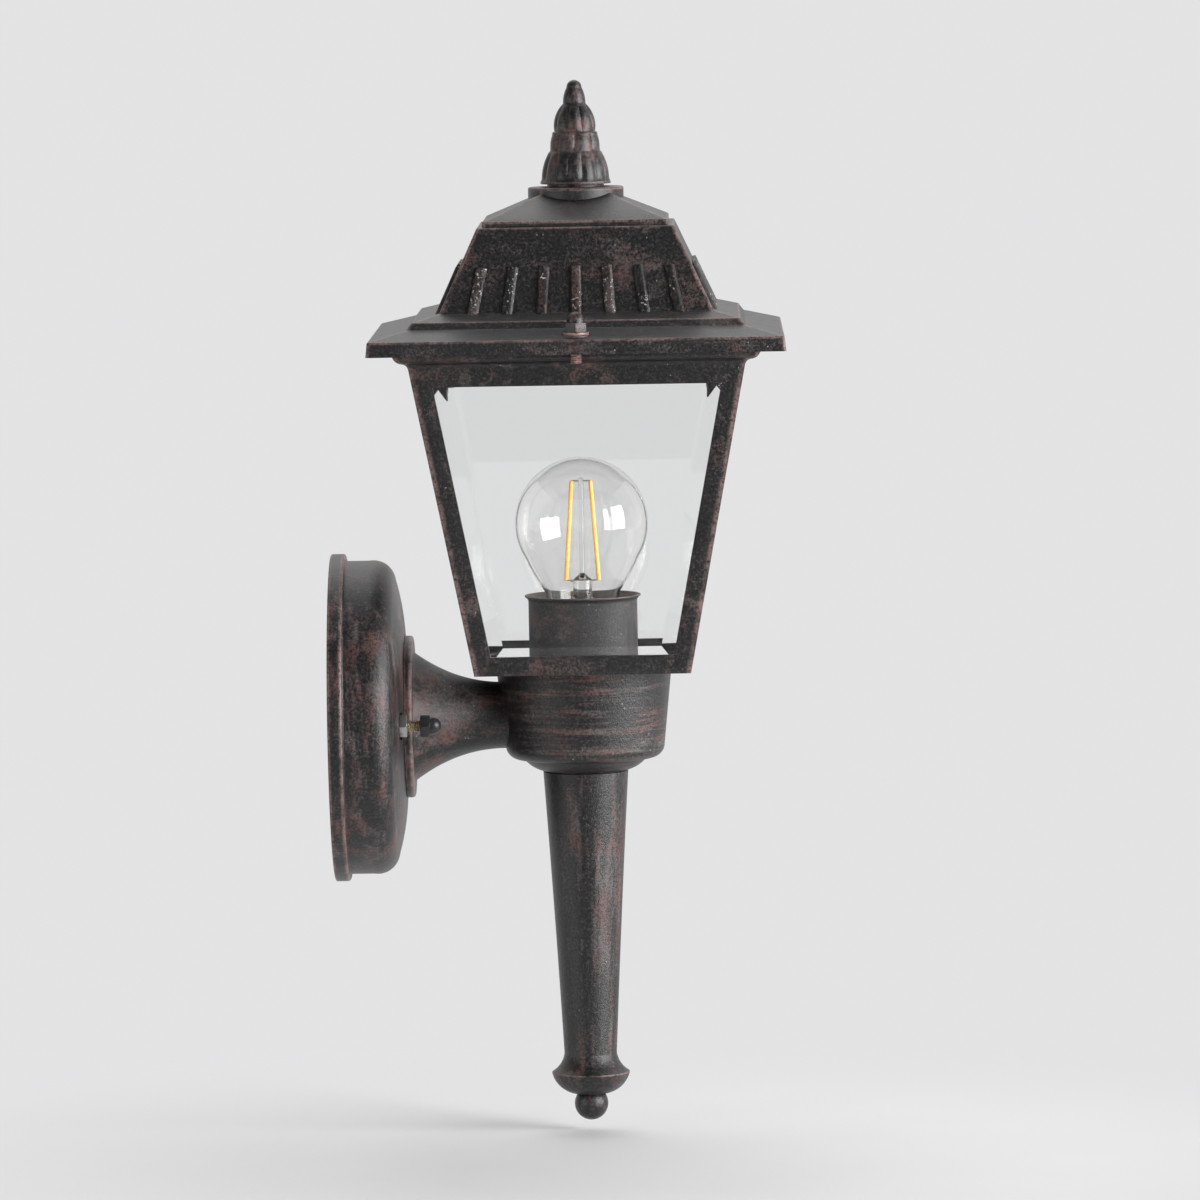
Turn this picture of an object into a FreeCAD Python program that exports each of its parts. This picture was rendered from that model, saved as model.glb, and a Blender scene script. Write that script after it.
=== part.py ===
"""Torch sconce: a four-sided glass lantern on a cup with a long tail, held off the wall by a short arm.

Millimetres. The wall is the plane X = 0 and +X points out of it, Y runs along the wall, +Z is up.
The origin is the middle of the mounting strap's back, on the arm's axis.
"""

import FreeCAD, Part
import math
import os

V = FreeCAD.Vector

# Fits and screws
slip = 0.05  # radial gap of a thread in its own hole, both drawn plain
spin_gap = 0.08  # radial gap of a cap nut on its stud
screw_gap = 0.25  # radial gap of a clearance hole round a screw
m3_r = 1.45
m3_head_r = 2.6
m3_head_h = 1.9
m4_r = 1.95
m4_head_r = 3.3
m4_head_h = 2.2
m5_r = 2.45
m6_r = 2.95
nut_flats = 7.0  # M4 nuts
nut_h = 3.2
cap_nut_h = 6.9
cap_dome_r = 2.95
cap_thread_depth = 4.6
end_room = 0.5  # blind hole past a screw's end
quarter_bulge = 1 - math.sqrt(0.5)  # sagitta of a quarter circle of radius 1

# Wall canopy, a hollow pan open towards the wall
rim_r = 55.4
rim_t = 5.0
rim_chamfer = 0.8
pan_r = 53.0
pan_wall = 2.0
pan_straight = 13.0  # depth of the straight side
pan_shoulder_r = 46.0
pan_shoulder_x = 21.0
pan_shoulder_sagitta = 1.9
pan_face_r = 28.0
pan_face_sagitta = 0.55
pan_inner_sagitta = 1.7
pan_thinning = 0.6  # the wall is thinner by this at the shoulder
pan_depth = 24.5  # wall to the flat face under the arm's flange
wire_hole_r = 8.0
stud_land_drop = 1.7  # spot face for the wall nuts, behind the flat face
stud_land_r = 4.7

# Mounting strap and wall studs
strap_half = 44.0
strap_width = 18.0
strap_t = 1.5
strap_raise = 3.0  # the ends stand off the wall to clear the stud heads
strap_knee = 2.0
strap_head_gap = 0.15  # stud head to the knee
strap_slot_pitch = 46.0
strap_slot_length = 10.6
strap_slot_width = 4.6
wall_stud_pitch = 70.0
wall_stud_bare = 4.4  # bare thread between the nut and the cap nut

# Arm
flange_r = 27.4
flange_t = 2.9
flange_chamfer = 1.0
trumpet_r = 21.4  # where the trumpet leaves the flange
trumpet_falls = [(0.18, 3.9), (0.56, 8.3)]  # (share of the way to the cup, drop in radius)
arm_r = 11.2  # at the cup
arm_hollow_r = 13.6
arm_throat_r = 8.6
arm_throat_h = 2.5
arm_screw_radius = 17.5
arm_screw_depth = 4.0
nipple_r = 4.95
nipple_bore_r = 3.6
nipple_in_arm = 14.0
nipple_nut_flats = 14.0
nipple_nut_h = 3.0
nipple_end = 1.0  # past its nut
nut_boss_wall = 2.6  # round the nut
nut_boss_depth = 3.2  # cup's waist to the flat under the nut

# Lantern axis and cup
lantern_x = 85.0
cup_top_z = 16.3
cup_top_r = 29.0
cup_waist_z = -9.8
cup_waist_r = 26.2
cup_turn_z = -14.8  # foot of the round-over
cup_turn_r = 21.8
cup_turn_sagitta = 1.35
cup_step = 1.0
cup_foot_z = -19.0
cup_foot_r = 14.3
cup_foot_sagitta = 0.7
cup_wall = 2.4
cup_floor = 4.5
cup_floor_dish = 0.6
cup_floor_inset = 3.4  # of the floor's edge from the round-over
cup_wall_root = 0.8
cage_screw_radius = 23.0
cage_screw_boss_r = 3.7
cage_screw_boss_h = 12.3
cage_screw_length = 8.0

# Tail and ball
tail_top_r = 14.1
tail_edge = 0.4
tail_sagitta = 0.35
tail_neck_r = 8.6
tail_neck_z = -115.6
tail_neck_sagitta = 0.9
tail_flare_r = 13.0
tail_flare_z = -122.0
tail_flare_sagitta = 1.9
tail_end_r = 4.5
tail_end_z = -129.5
tail_wall = 2.6
tail_cap = 4.0
ball_r = 5.4
ball_neck_r = 3.9
ball_drop = 3.6  # tail end to the ball's centre
rod_in_ball = 1.4  # past the ball's centre
rod_end = 1.5  # past its nut
rod_washer_r = 6.2
rod_washer_t = 1.2
m6_nut_flats = 10.0
m6_nut_h = 5.0

# Cage
cage_foot_half = 36.25
cage_taper = 0.188  # outward lean per unit of height
cage_body_h = 104.0
cage_wall = 2.2
cage_floor = 2.5
post_width = 6.8
bottom_rail_h = 6.4
top_rail_h = 6.0
cornice_cove_h = 2.0
cornice_ovolo_h = 2.9
cornice_crown_h = 1.8
cornice_cove_out = 2.0
cornice_ovolo_out = 3.2
cornice_cove_sagitta = 0.45
cornice_ovolo_sagitta = 0.7
floor_hole_r = 17.7
roof_stud_out = 1.6  # stud's axis beyond the cornice
roof_stud_ear_r = 4.2
roof_stud_drop = 5.0  # how far a roof stud hangs below the cage's top
roof_washer_r = 4.4
roof_washer_t = 0.9

# Panes and clips
pane_t = 3.0
pane_edge_t = 1.2
pane_bevel = 6.0
pane_overlap = 1.4  # behind the posts and the rails
pane_foot_gap = 0.3
pane_head_gap = 0.8
clip_gap = 0.2  # to the panes' inner faces
clip_rise = 0.6  # gusset above the posts
clip_t = 0.8
clip_width = 7.0
clip_notch_h = 4.0
clip_length = 11.4

# Roof, levels above the cage's top unless said
fascia_drop = 1.8
fascia_out = 8.4  # eave beyond the cage's cornice
fascia_draft = 0.5
fascia_top = 3.1
eave_run = 12.7
riser_foot = 6.4
riser_draft = 1.8
riser_top = 8.8
ledge_run = 8.8
drum_foot = 11.1
drum_draft = 12.7
drum_top = 39.0
hip_inset = 1.8
hip_fascia = 1.9
hip_slope = 0.433
collar_r = 16.1
collar_top = 51.4
roof_wall_side = 1.7  # the inner skin is the outer one moved in
roof_wall_down = 2.0  # and down
seat_in = 1.2  # the seat's outer face stays this far inside the cornice's edge
seat_root_share = 1 / 3  # of the riser's inner face lies above the seat
peak_share = 0.72  # of the collar's radius reached by the hip's top
roof_pad_r = 4.7
roof_pad_top = 4.4
rib_count = 7
rib_pitch_foot = 11.5
rib_pitch_top = 10.35
rib_h = 16.0
rib_width = 3.2
rib_proud = 1.9
rib_root = 0.6  # sunk in the drum
rib_drop = 0.9  # its foot below the drum's

# Finial, heights above the collar
finial_gap = 1.0
finial_spigot_r = 9.6
bell_r = 11.9
bell_neck_r = 9.0
bell_h = 10.6
bell_sagitta = 0.75
bell_lip_h = 0.5
bell_lip_w = 0.5
tier_lip = 0.4  # height of each tier's step
bell_flutes = 14
bell_flute_r = 0.9
low_tier_h = 7.0
low_tier_r = 8.5
low_tier_top_r = 7.9
high_tier_h = 9.3
high_tier_r = 6.9
high_tier_top_r = 4.3
high_tier_sagitta = 0.95
tier_petals = 8
petal_groove_r = 0.75
bud_h = 8.0
bud_r = 3.8
bud_crown_r = 2.55
finial_rod_depth = 22.0
finial_rod_tail = 8.0  # below the roof's top plate
m5_nut_flats = 8.0
m5_nut_h = 4.0

# Lampholder and socket cup
holder_r = 17.0
holder_bore_r = 14.5
holder_foot_z = 4.0
holder_top_z = 36.0
holder_floor = 5.0
holder_bevel = 1.5
holder_lip = 1.0
rivet_hole_r = 2.2
rivet_r = 2.1
rivet_head_r = 3.4  # room for it in the bracket
rivet_drop = 0.8
shell_r = 13.6  # inside
shell_t = 0.5
shell_h = 24.0
shell_hole_r = 6.2
contact_width = 4.0
contact_t = 0.5
contact_reach = 5.0
contact_foot = 2.0
contact_root = 3.4
contact_pad = 1.6
contact_nose = 2.9
bracket_t = 1.4
bracket_width = 10.0
bracket_inner = 19.6
bracket_tab = 4.0
holder_screw_pitch = 16.0
bracket_screw_pitch = 45.8
bracket_screw_end = 1.0
holder_screw_depth = 3.4
socket_cup_r = 18.4
socket_cup_t = 0.6
socket_cup_rim_r = 19.6
socket_cup_rim_z = 40.8
socket_rim_h = 0.5
socket_rim_w = 0.4
socket_flare_h = 1.5
socket_ear_r = 3.3

# Bulb
globe_r = 22.5
globe_z = 64.9
globe_wall = 0.9
globe_cone_angle = 31.8  # below the equator, where the sphere turns into the neck's cone
neck_r = 12.5
neck_z = 42.3
neck_foot_z = 32.0
neck_bend = 0.9  # the cone meets the neck in one short step
neck_bend_above = 1.6
neck_bend_below = 0.6
cap_r = 13.2
cap_bevel = 1.2
cap_dish = 1.6  # the rolled foot below the bevel
cap_t = 0.6
cap_top_z = 37.6
cap_foot_z = 17.4
bulb_contact_z = 12.4
bulb_contact_r = 4.6
bulb_contact_h = 1.2
insulator_r = 9.0
stem_r = 3.2
stem_rod_r = 0.9
stem_pinch_z = 48.0
stem_pinch_h = 2.0
stem_tube_h = 6.0
stem_foot_t = 1.0
stem_rod_end = 1.2
filament_r = 0.7
filament_foot_z = 45.8
filament_top_z = 79.2
filament_foot_half = 5.5
filament_top_half = 3.2
filament_wire_r = 0.3

# Wiring inside the canopy, arm and cup
lead_r = 1.0
lead_offset = 1.25  # from the arm's axis
block_y = 9.5
block_width = 12.0
block_length = 24.0
block_depth = 10.0
block_pole_pitch = 8.0
block_hole_r = 1.8
block_hole_depth = 3.0
earth_screw_y = -16.0
earth_ring_r = 3.4
earth_ring_t = 0.6
lead_slant = 8.5  # over which the live lead swings to the axis
lead_turn_x = 66.0
terminal_x = 74.0
terminal_half = 5.5

# Places worked out from the sizes
cage_top_z = cup_top_z + cage_body_h + cornice_cove_h + cornice_ovolo_h + cornice_crown_h
cage_body_top_z = cup_top_z + cage_body_h
floor_top_z = cup_top_z + cage_floor
collar_top_z = cage_top_z + collar_top
stud_land_x = pan_depth - stud_land_drop
wall_cap_nut_x = stud_land_x + nut_h + wall_stud_bare
roof_pad_z = cage_top_z + roof_pad_top
roof_cap_nut_z = roof_pad_z + roof_washer_t
cup_floor_z = cup_foot_z + cup_floor


# ---- drawing helpers -------------------------------------------------------------------------


def outline(points):
    """Closed face in the XZ plane. A step is a point, a (point, sagitta) arc or a list for a smooth curve.

    A positive sagitta bulges to the right of the way of travel.
    """
    edges = []
    here = points[0]
    for step in points[1:] + [points[0]]:
        if isinstance(step, list):
            through = [V(a, 0, b) for a, b in [here] + step]
            curve = Part.BSplineCurve()
            curve.interpolate(through)
            edges.append(curve.toShape())
            here = step[-1]
        elif isinstance(step[0], tuple):
            end, sagitta = step
            run = math.dist(here, end)
            middle = (
                (here[0] + end[0]) / 2 + sagitta * (end[1] - here[1]) / run,
                (here[1] + end[1]) / 2 - sagitta * (end[0] - here[0]) / run,
            )
            arc = Part.Arc(*[V(a, 0, b) for a, b in (here, middle, end)])
            edges.append(arc.toShape())
            here = end
        elif math.dist(here, step) > 1e-6:
            edges.append(Part.LineSegment(V(here[0], 0, here[1]), V(step[0], 0, step[1])).toShape())
            here = step
    return Part.Face(Part.Wire(edges))


def along(shape, base, axis):
    """Turns a shape drawn about +Z to an axis and moves its origin to base."""
    shape = shape.copy()
    shape.Placement = FreeCAD.Placement(V(*base), FreeCAD.Rotation(V(0, 0, 1), V(*axis)))
    return shape


def turned_x(points):
    """Solid turned about the arm's axis from (radius, x) points."""
    solid = outline(points).revolve(V(0, 0, 0), V(0, 0, 1), 360)
    return along(solid, (0, 0, 0), (1, 0, 0))


def turned_z(points, x=lantern_x, y=0.0):
    """Solid turned about a vertical axis from (radius, z) points."""
    solid = outline(points).revolve(V(0, 0, 0), V(0, 0, 1), 360)
    return along(solid, (x, y, 0), (0, 0, 1))


def rod_x(radius, x0, x1, y=0.0, z=0.0):
    return Part.makeCylinder(radius, x1 - x0, V(x0, y, z), V(1, 0, 0))


def rod_z(radius, z0, z1, x=lantern_x, y=0.0):
    return Part.makeCylinder(radius, z1 - z0, V(x, y, z0))


def rod_between(radius, start, end):
    run = V(*end) - V(*start)
    return Part.makeCylinder(radius, run.Length, V(*start), run)


def block(x, y, z):
    """Box from its (low, high) pairs."""
    return Part.makeBox(x[1] - x[0], y[1] - y[0], z[1] - z[0], V(x[0], y[0], z[0]))


def hexagon(flats, height):
    """Hexagonal prism on +Z with two flats square to X."""
    corner = flats / 2 / math.cos(math.radians(30))
    angles = [math.radians(30 + 60 * side) for side in range(7)]
    wire = Part.makePolygon([V(corner * math.cos(a), corner * math.sin(a), 0) for a in angles])
    return Part.Face(wire).extrude(V(0, 0, height))


def hex_nut(flats, height, hole_r):
    """Nut with both faces chamfered at the corners."""
    corner = flats / 2 / math.cos(math.radians(30))
    drop = (corner - flats / 2) * math.tan(math.radians(30))
    lower = [(0, 0), (flats / 2, 0), (corner, drop)]
    profile = lower + [(r, height - z) for r, z in reversed(lower)]
    lens = outline(profile).revolve(V(0, 0, 0), V(0, 0, 1), 360)
    nut = hexagon(flats, height).common(lens)
    return nut.cut(Part.makeCylinder(hole_r, height, V(0, 0, 0)))


def cap_nut():
    """Domed cap nut on +Z, open at its foot."""
    hexagonal = hex_nut(nut_flats, nut_h, m4_r + spin_gap)
    top = cap_nut_h - cap_dome_r
    dome = [(0, nut_h), (cap_dome_r, nut_h), (cap_dome_r, top)]
    dome.append(((0, cap_nut_h), cap_dome_r * quarter_bulge))
    crown = outline(dome).revolve(V(0, 0, 0), V(0, 0, 1), 360)
    bore = Part.makeCylinder(m4_r + spin_gap, cap_thread_depth + slip, V(0, 0, 0))
    return hexagonal.fuse(crown).cut(bore).removeSplitter()


def pan_screw(radius, head_r, head_h, length):
    """Pan-head screw on +Z: the head stands on z = 0 and the shank goes down."""
    profile = [(0, -length), (radius, -length), (radius, 0), (head_r, 0), (head_r, head_h * 0.55)]
    profile += [(head_r * 0.6, head_h), (0, head_h)]
    screw = outline(profile).revolve(V(0, 0, 0), V(0, 0, 1), 360)
    slot = Part.makeBox(head_r * 1.3, head_h * 0.3, head_h, V(-head_r * 0.65, -head_h * 0.15, head_h * 0.5))
    return screw.cut(slot)


def ring(outer_r, inner_r, height):
    return Part.makeCylinder(outer_r, height).cut(Part.makeCylinder(inner_r, height))


def mitred(points):
    """Four-sided solid about the lantern axis, from one (half width, z) profile mitred at the corners."""
    reach = 2 * max(p[0][0] if isinstance(p[0], tuple) else p[0] for p in points)
    side = outline(points)
    low, high = side.BoundBox.ZMin - 1, side.BoundBox.ZMax + 1
    side.translate(V(0, -reach, 0))
    bar = side.extrude(V(0, 2 * reach, 0))
    corners = [V(0, 0, low), V(reach, -reach, low), V(reach, reach, low), V(0, 0, low)]
    wedge = Part.Face(Part.makePolygon(corners)).extrude(V(0, 0, high - low))
    quarter = bar.common(wedge)
    quarters = [quarter.rotated(V(0, 0, 0), V(0, 0, 1), 90 * turn) for turn in range(4)]
    whole = quarters[0].fuse(quarters[1:]).removeSplitter()
    return along(whole, (lantern_x, 0, 0), (0, 0, 1))


def round_lantern(shape, copies=4, start=0.0):
    """Copies of a shape, evenly spaced about the lantern axis."""
    step = 360.0 / copies
    axis = V(lantern_x, 0, 0)
    return [shape.rotated(axis, V(0, 0, 1), start + step * turn) for turn in range(copies)]


def bent_tube(points, radius):
    """Tube along straight runs joined by the largest arcs that they leave room for."""
    points = [V(*p) for p in points]
    edges = []
    here = points[0]
    for before, corner, after in zip(points, points[1:], points[2:]):
        back = (before - corner).normalize()
        ahead = (after - corner).normalize()
        half_turn = (math.pi - back.getAngle(ahead)) / 2
        trim = 0.45 * min((before - corner).Length, (after - corner).Length)
        start = corner + back * trim
        end = corner + ahead * trim
        bend_r = trim / math.tan(half_turn)
        inward = (back + ahead).normalize()
        middle = corner + inward * (bend_r / math.cos(half_turn) - bend_r)
        edges.append(Part.LineSegment(here, start).toShape())
        edges.append(Part.Arc(start, middle, end).toShape())
        here = end
    edges.append(Part.LineSegment(here, points[-1]).toShape())
    section = Part.Wire(Part.makeCircle(radius, points[0], points[1] - points[0]))
    return Part.Wire(edges).makePipeShell([section], True, False)


# ---- wall fixing and canopy ------------------------------------------------------------------


def wall_canopy():
    inner_rim = pan_r - pan_wall
    outer = [
        (inner_rim, 0),
        (rim_r, 0),
        (rim_r, rim_t - rim_chamfer),
        (rim_r - rim_chamfer, rim_t),
        (pan_r, rim_t),
        (pan_r, pan_straight),
        ((pan_shoulder_r, pan_shoulder_x), pan_shoulder_sagitta),
        ((pan_face_r, pan_depth), pan_face_sagitta),
        (wire_hole_r, pan_depth),
    ]
    inner = [
        (wire_hole_r, pan_depth - pan_wall),
        (pan_face_r, pan_depth - pan_wall),
        (pan_shoulder_r - pan_thinning, pan_shoulder_x - pan_wall),
        ((inner_rim, pan_straight - pan_thinning), -pan_inner_sagitta),
    ]
    pan = turned_x(outer + inner)
    for side in (-1, 1):
        y = side * wall_stud_pitch / 2
        land = rod_x(stud_land_r, stud_land_x, pan_depth + 1, y)
        pan = pan.cut(land).cut(rod_x(m4_r + screw_gap, 0, pan_depth, y))
        pan = pan.cut(rod_x(m4_r + screw_gap, 0, pan_depth, 0, side * arm_screw_radius))
    return pan.cut(rod_x(m4_r + slip, 0, pan_depth, earth_screw_y))


def mounting_strap():
    """Flat strap with raised ends and a slot each side for the wall screws."""
    stud_y = wall_stud_pitch / 2
    knee_top = stud_y - m4_head_r - strap_head_gap
    knee_foot = knee_top - strap_knee
    back = [(strap_half, strap_raise), (knee_top, strap_raise), (knee_foot, 0)]
    edge = back + [(-y, x) for y, x in reversed(back)]
    face = edge + [(y, x + strap_t) for y, x in reversed(edge)]
    wire = Part.makePolygon([V(x, y, -strap_width / 2) for y, x in face + face[:1]])
    strap = Part.Face(wire).extrude(V(0, 0, strap_width))
    for side in (-1, 1):
        middle = side * strap_slot_pitch / 2
        reach = (strap_slot_length - strap_slot_width) / 2
        ends = (middle - reach, middle + reach)
        slot = block((-1, strap_t + 1), ends, (-strap_slot_width / 2, strap_slot_width / 2))
        for end in ends:
            slot = slot.fuse(rod_x(strap_slot_width / 2, -1, strap_t + 1, end))
        strap = strap.cut(slot).cut(rod_x(m4_r + slip, 0, strap_raise + strap_t, side * stud_y))
    return strap


def wall_studs():
    """Two long screws pushed through the strap from behind."""
    length = wall_cap_nut_x + cap_thread_depth - strap_raise
    stud = Part.makeCylinder(m4_r, length)
    stud = stud.fuse(Part.makeCylinder(m4_head_r, m4_head_h, V(0, 0, -m4_head_h)))
    places = [(strap_raise, side * wall_stud_pitch / 2, 0) for side in (-1, 1)]
    return Part.makeCompound([along(stud, place, (1, 0, 0)) for place in places])


def wall_hex_nuts():
    nut = hex_nut(nut_flats, nut_h, m4_r + slip)
    places = [(stud_land_x, side * wall_stud_pitch / 2, 0) for side in (-1, 1)]
    return Part.makeCompound([along(nut, place, (1, 0, 0)) for place in places])


def wall_cap_nut(side):
    return along(cap_nut(), (wall_cap_nut_x, side * wall_stud_pitch / 2, 0), (1, 0, 0))


# ---- arm -------------------------------------------------------------------------------------


def arm():
    """Flange, trumpet and neck in one casting, with its end cut to the cup."""
    flange_x = pan_depth + flange_t
    cup_x = lantern_x - cup_waist_r
    reach = cup_x - flange_x
    trumpet = [(trumpet_r - fall, flange_x + share * reach) for share, fall in trumpet_falls]
    trumpet.append((arm_r, cup_x))
    profile = [
        (0, pan_depth),
        (flange_r, pan_depth),
        (flange_r, flange_x - flange_chamfer),
        (flange_r - flange_chamfer, flange_x),
        (trumpet_r, flange_x),
        trumpet,
        (arm_r, lantern_x - arm_r),
        (0, lantern_x - arm_r),
    ]
    hollow = [
        (0, pan_depth),
        (arm_hollow_r, pan_depth),
        (arm_throat_r, cup_x - nipple_in_arm - arm_throat_h),
        (nipple_r + slip, cup_x - nipple_in_arm),
        (nipple_r + slip, lantern_x),
        (0, lantern_x),
    ]
    casting = turned_x(profile).cut(turned_x(hollow)).cut(cup_outside())
    for side in (-1, 1):
        hole = rod_x(m4_r + slip, pan_depth, pan_depth + arm_screw_depth + slip, 0, side * arm_screw_radius)
        casting = casting.cut(hole)
    return casting


def arm_screws():
    """Two screws from inside the canopy into the flange."""
    screw = pan_screw(m4_r, m4_head_r, m4_head_h, pan_wall + arm_screw_depth)
    places = [(pan_depth - pan_wall, 0, side * arm_screw_radius) for side in (-1, 1)]
    return Part.makeCompound([along(screw, place, (-1, 0, 0)) for place in places])


def nut_seat_x():
    """Flat inside the cup that the arm's nut bears on."""
    return lantern_x - cup_waist_r + nut_boss_depth


def arm_nipple():
    """Hollow threaded tube that joins the arm to the cup and passes the leads."""
    start = lantern_x - cup_waist_r - nipple_in_arm
    end = nut_seat_x() + nipple_nut_h + nipple_end
    return rod_x(nipple_r, start, end).cut(rod_x(nipple_bore_r, start, end))


def arm_nut():
    return along(hex_nut(nipple_nut_flats, nipple_nut_h, nipple_r + slip), (nut_seat_x(), 0, 0), (1, 0, 0))


# ---- cup, tail and ball ----------------------------------------------------------------------


def cup_outside():
    return turned_z(
        [
            (0, cup_top_z),
            (0, cup_foot_z),
            (cup_foot_r, cup_foot_z),
            ((cup_turn_r - cup_step, cup_turn_z), cup_foot_sagitta),
            (cup_turn_r, cup_turn_z),
            ((cup_waist_r, cup_waist_z), cup_turn_sagitta),
            (cup_top_r, cup_top_z),
        ]
    )


def cage_screw_places():
    reach = cage_screw_radius * math.sqrt(0.5)
    return [(lantern_x - reach, -reach), (lantern_x + reach, reach)]


def cup():
    """Round bowl with two screw bosses for the cage and a flat for the arm's nut."""
    outside = cup_outside()
    hollow = turned_z(
        [
            (0, cup_top_z),
            (0, cup_floor_z),
            (rod_washer_r + rod_washer_t, cup_floor_z),
            (cup_turn_r - cup_floor_inset, cup_floor_z + cup_floor_dish),
            (cup_waist_r - cup_wall, cup_waist_z + cup_wall_root),
            (cup_top_r - cup_wall, cup_top_z),
        ]
    )
    bowl = outside.cut(hollow)
    boss_foot_z = cup_top_z - cage_screw_boss_h
    bosses = [rod_z(cage_screw_boss_r, boss_foot_z, cup_top_z, x, y) for x, y in cage_screw_places()]
    bosses.append(rod_x(nipple_nut_flats / 2 + nut_boss_wall, lantern_x - cup_top_r, nut_seat_x()))
    bowl = bowl.fuse([boss.common(outside) for boss in bosses]).removeSplitter()
    for x, y in cage_screw_places():
        bowl = bowl.cut(rod_z(m4_r + slip, cup_top_z - cage_screw_length - end_room, cup_top_z, x, y))
    bowl = bowl.cut(rod_x(nipple_r + slip, 0, nut_seat_x()))
    return bowl.cut(rod_z(m6_r + slip, cup_foot_z, cup_floor_z))


def tail():
    """Long hollow flute that ends in a flared bead."""
    shoulder = cup_foot_z - tail_cap
    outside = turned_z(
        [
            (0, cup_foot_z),
            (0, tail_end_z),
            (tail_end_r, tail_end_z),
            ((tail_flare_r, tail_flare_z), tail_flare_sagitta),
            ((tail_neck_r, tail_neck_z), -tail_neck_sagitta),
            ((tail_top_r, cup_foot_z - tail_edge), -tail_sagitta),
            (tail_top_r - tail_edge, cup_foot_z),
        ]
    )
    hollow = turned_z(
        [
            (0, shoulder),
            (0, tail_neck_z),
            (tail_neck_r - tail_wall, tail_neck_z),
            (tail_top_r - tail_wall, shoulder),
        ]
    )
    return outside.cut(hollow).cut(rod_z(m6_r + slip, tail_end_z, cup_foot_z))


def tail_ball():
    """Ball nut on the lower end of the tie rod."""
    centre = tail_end_z - ball_drop
    ball = Part.makeSphere(ball_r, V(lantern_x, 0, centre))
    ball = ball.cut(rod_z(ball_r + 1, tail_end_z, tail_end_z + ball_r))
    ball = ball.fuse(rod_z(ball_neck_r, centre, tail_end_z)).removeSplitter()
    return ball.cut(rod_z(m6_r + slip, centre - rod_in_ball - slip, tail_end_z))


def tie_rod():
    """Threaded rod that clamps the ball, tail and cup together."""
    top = cup_floor_z + rod_washer_t + m6_nut_h + rod_end
    return rod_z(m6_r, tail_end_z - ball_drop - rod_in_ball, top)


def tie_rod_washer():
    washer = ring(rod_washer_r, m6_r + screw_gap, rod_washer_t)
    return along(washer, (lantern_x, 0, cup_floor_z), (0, 0, 1))


def tie_rod_nut():
    nut = hex_nut(m6_nut_flats, m6_nut_h, m6_r + slip)
    return along(nut, (lantern_x, 0, cup_floor_z + rod_washer_t), (0, 0, 1))


# ---- cage and panes --------------------------------------------------------------------------


def cage_half(z):
    """Half width over the posts at a height."""
    return cage_foot_half + cage_taper * (z - cup_top_z)


def cornice_half():
    return cage_half(cage_body_top_z) + cornice_cove_out + cornice_ovolo_out


def window_half(z):
    return cage_half(z) - post_width


def roof_stud_places():
    return [(lantern_x, side * (cornice_half() + roof_stud_out)) for side in (-1, 1)]


def cage():
    """Floor, four leaning posts, two rails and the cornice in one casting."""
    mid_z = cage_body_top_z + cornice_cove_h
    crown_z = mid_z + cornice_ovolo_h
    top_inner = cage_half(cage_body_top_z) - cage_wall
    casting = mitred(
        [
            (0, cup_top_z),
            (cage_foot_half, cup_top_z),
            (cage_half(cage_body_top_z), cage_body_top_z),
            ((cage_half(cage_body_top_z) + cornice_cove_out, mid_z), -cornice_cove_sagitta),
            ((cornice_half(), crown_z), cornice_ovolo_sagitta),
            (cornice_half(), cage_top_z),
            (top_inner, cage_top_z),
            (top_inner, cage_body_top_z),
            (cage_half(floor_top_z) - cage_wall, floor_top_z),
            (0, floor_top_z),
        ]
    )
    for x, y in roof_stud_places():
        casting = casting.fuse(rod_z(roof_stud_ear_r, cage_top_z - cornice_crown_h, cage_top_z, x, y))
    casting = casting.removeSplitter()
    low = cup_top_z + bottom_rail_h
    high = cage_body_top_z - top_rail_h
    edge = [(window_half(low), low), (window_half(high), high)]
    corners = edge + [(-u, z) for u, z in reversed(edge)]
    wire = Part.makePolygon([V(lantern_x + u, 0, z) for u, z in corners + corners[:1]])
    window = Part.Face(wire).extrude(V(0, 2 * cornice_half(), 0))
    for opening in round_lantern(window):
        casting = casting.cut(opening)
    casting = casting.cut(rod_z(floor_hole_r, cup_top_z, floor_top_z))
    for x, y in cage_screw_places():
        casting = casting.cut(rod_z(m4_r + screw_gap, cup_top_z, floor_top_z, x, y))
    for side in (-1, 1):
        y = side * bracket_screw_pitch / 2
        casting = casting.cut(rod_z(m3_r + screw_gap, cup_top_z, floor_top_z, lantern_x, y))
    for x, y in roof_stud_places():
        casting = casting.cut(rod_z(m4_r + slip, cage_top_z - cornice_crown_h - 3, cage_top_z, x, y))
    return casting


def cage_screws():
    screw = pan_screw(m4_r, m4_head_r, m4_head_h, cage_floor + cage_screw_length)
    return Part.makeCompound([along(screw, (x, y, floor_top_z), (0, 0, 1)) for x, y in cage_screw_places()])


def pane(turn):
    """Bevelled pane that lies against the inside of the posts."""
    lean = math.atan(cage_taper)
    low = floor_top_z + pane_foot_gap
    high = cage_body_top_z - pane_head_gap

    def trapezoid(depth, inset):
        """Pane outline at a depth from its outer face, in from its edge."""
        corners = []
        for z, sides in ((low + inset, (-1, 1)), (high - inset, (1, -1))):
            half = window_half(z) + pane_overlap - inset
            face = cage_half(z) - cage_wall
            for side in sides:
                y = -(face - depth * math.cos(lean))
                corners.append(V(lantern_x + side * half, y, z + depth * math.sin(lean)))
        return Part.makePolygon(corners + corners[:1])

    sections = [trapezoid(0, 0), trapezoid(pane_edge_t, 0), trapezoid(pane_t, pane_bevel)]
    glass = Part.makeLoft(sections, True, True)
    return glass.rotated(V(lantern_x, 0, 0), V(0, 0, 1), turn)


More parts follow.
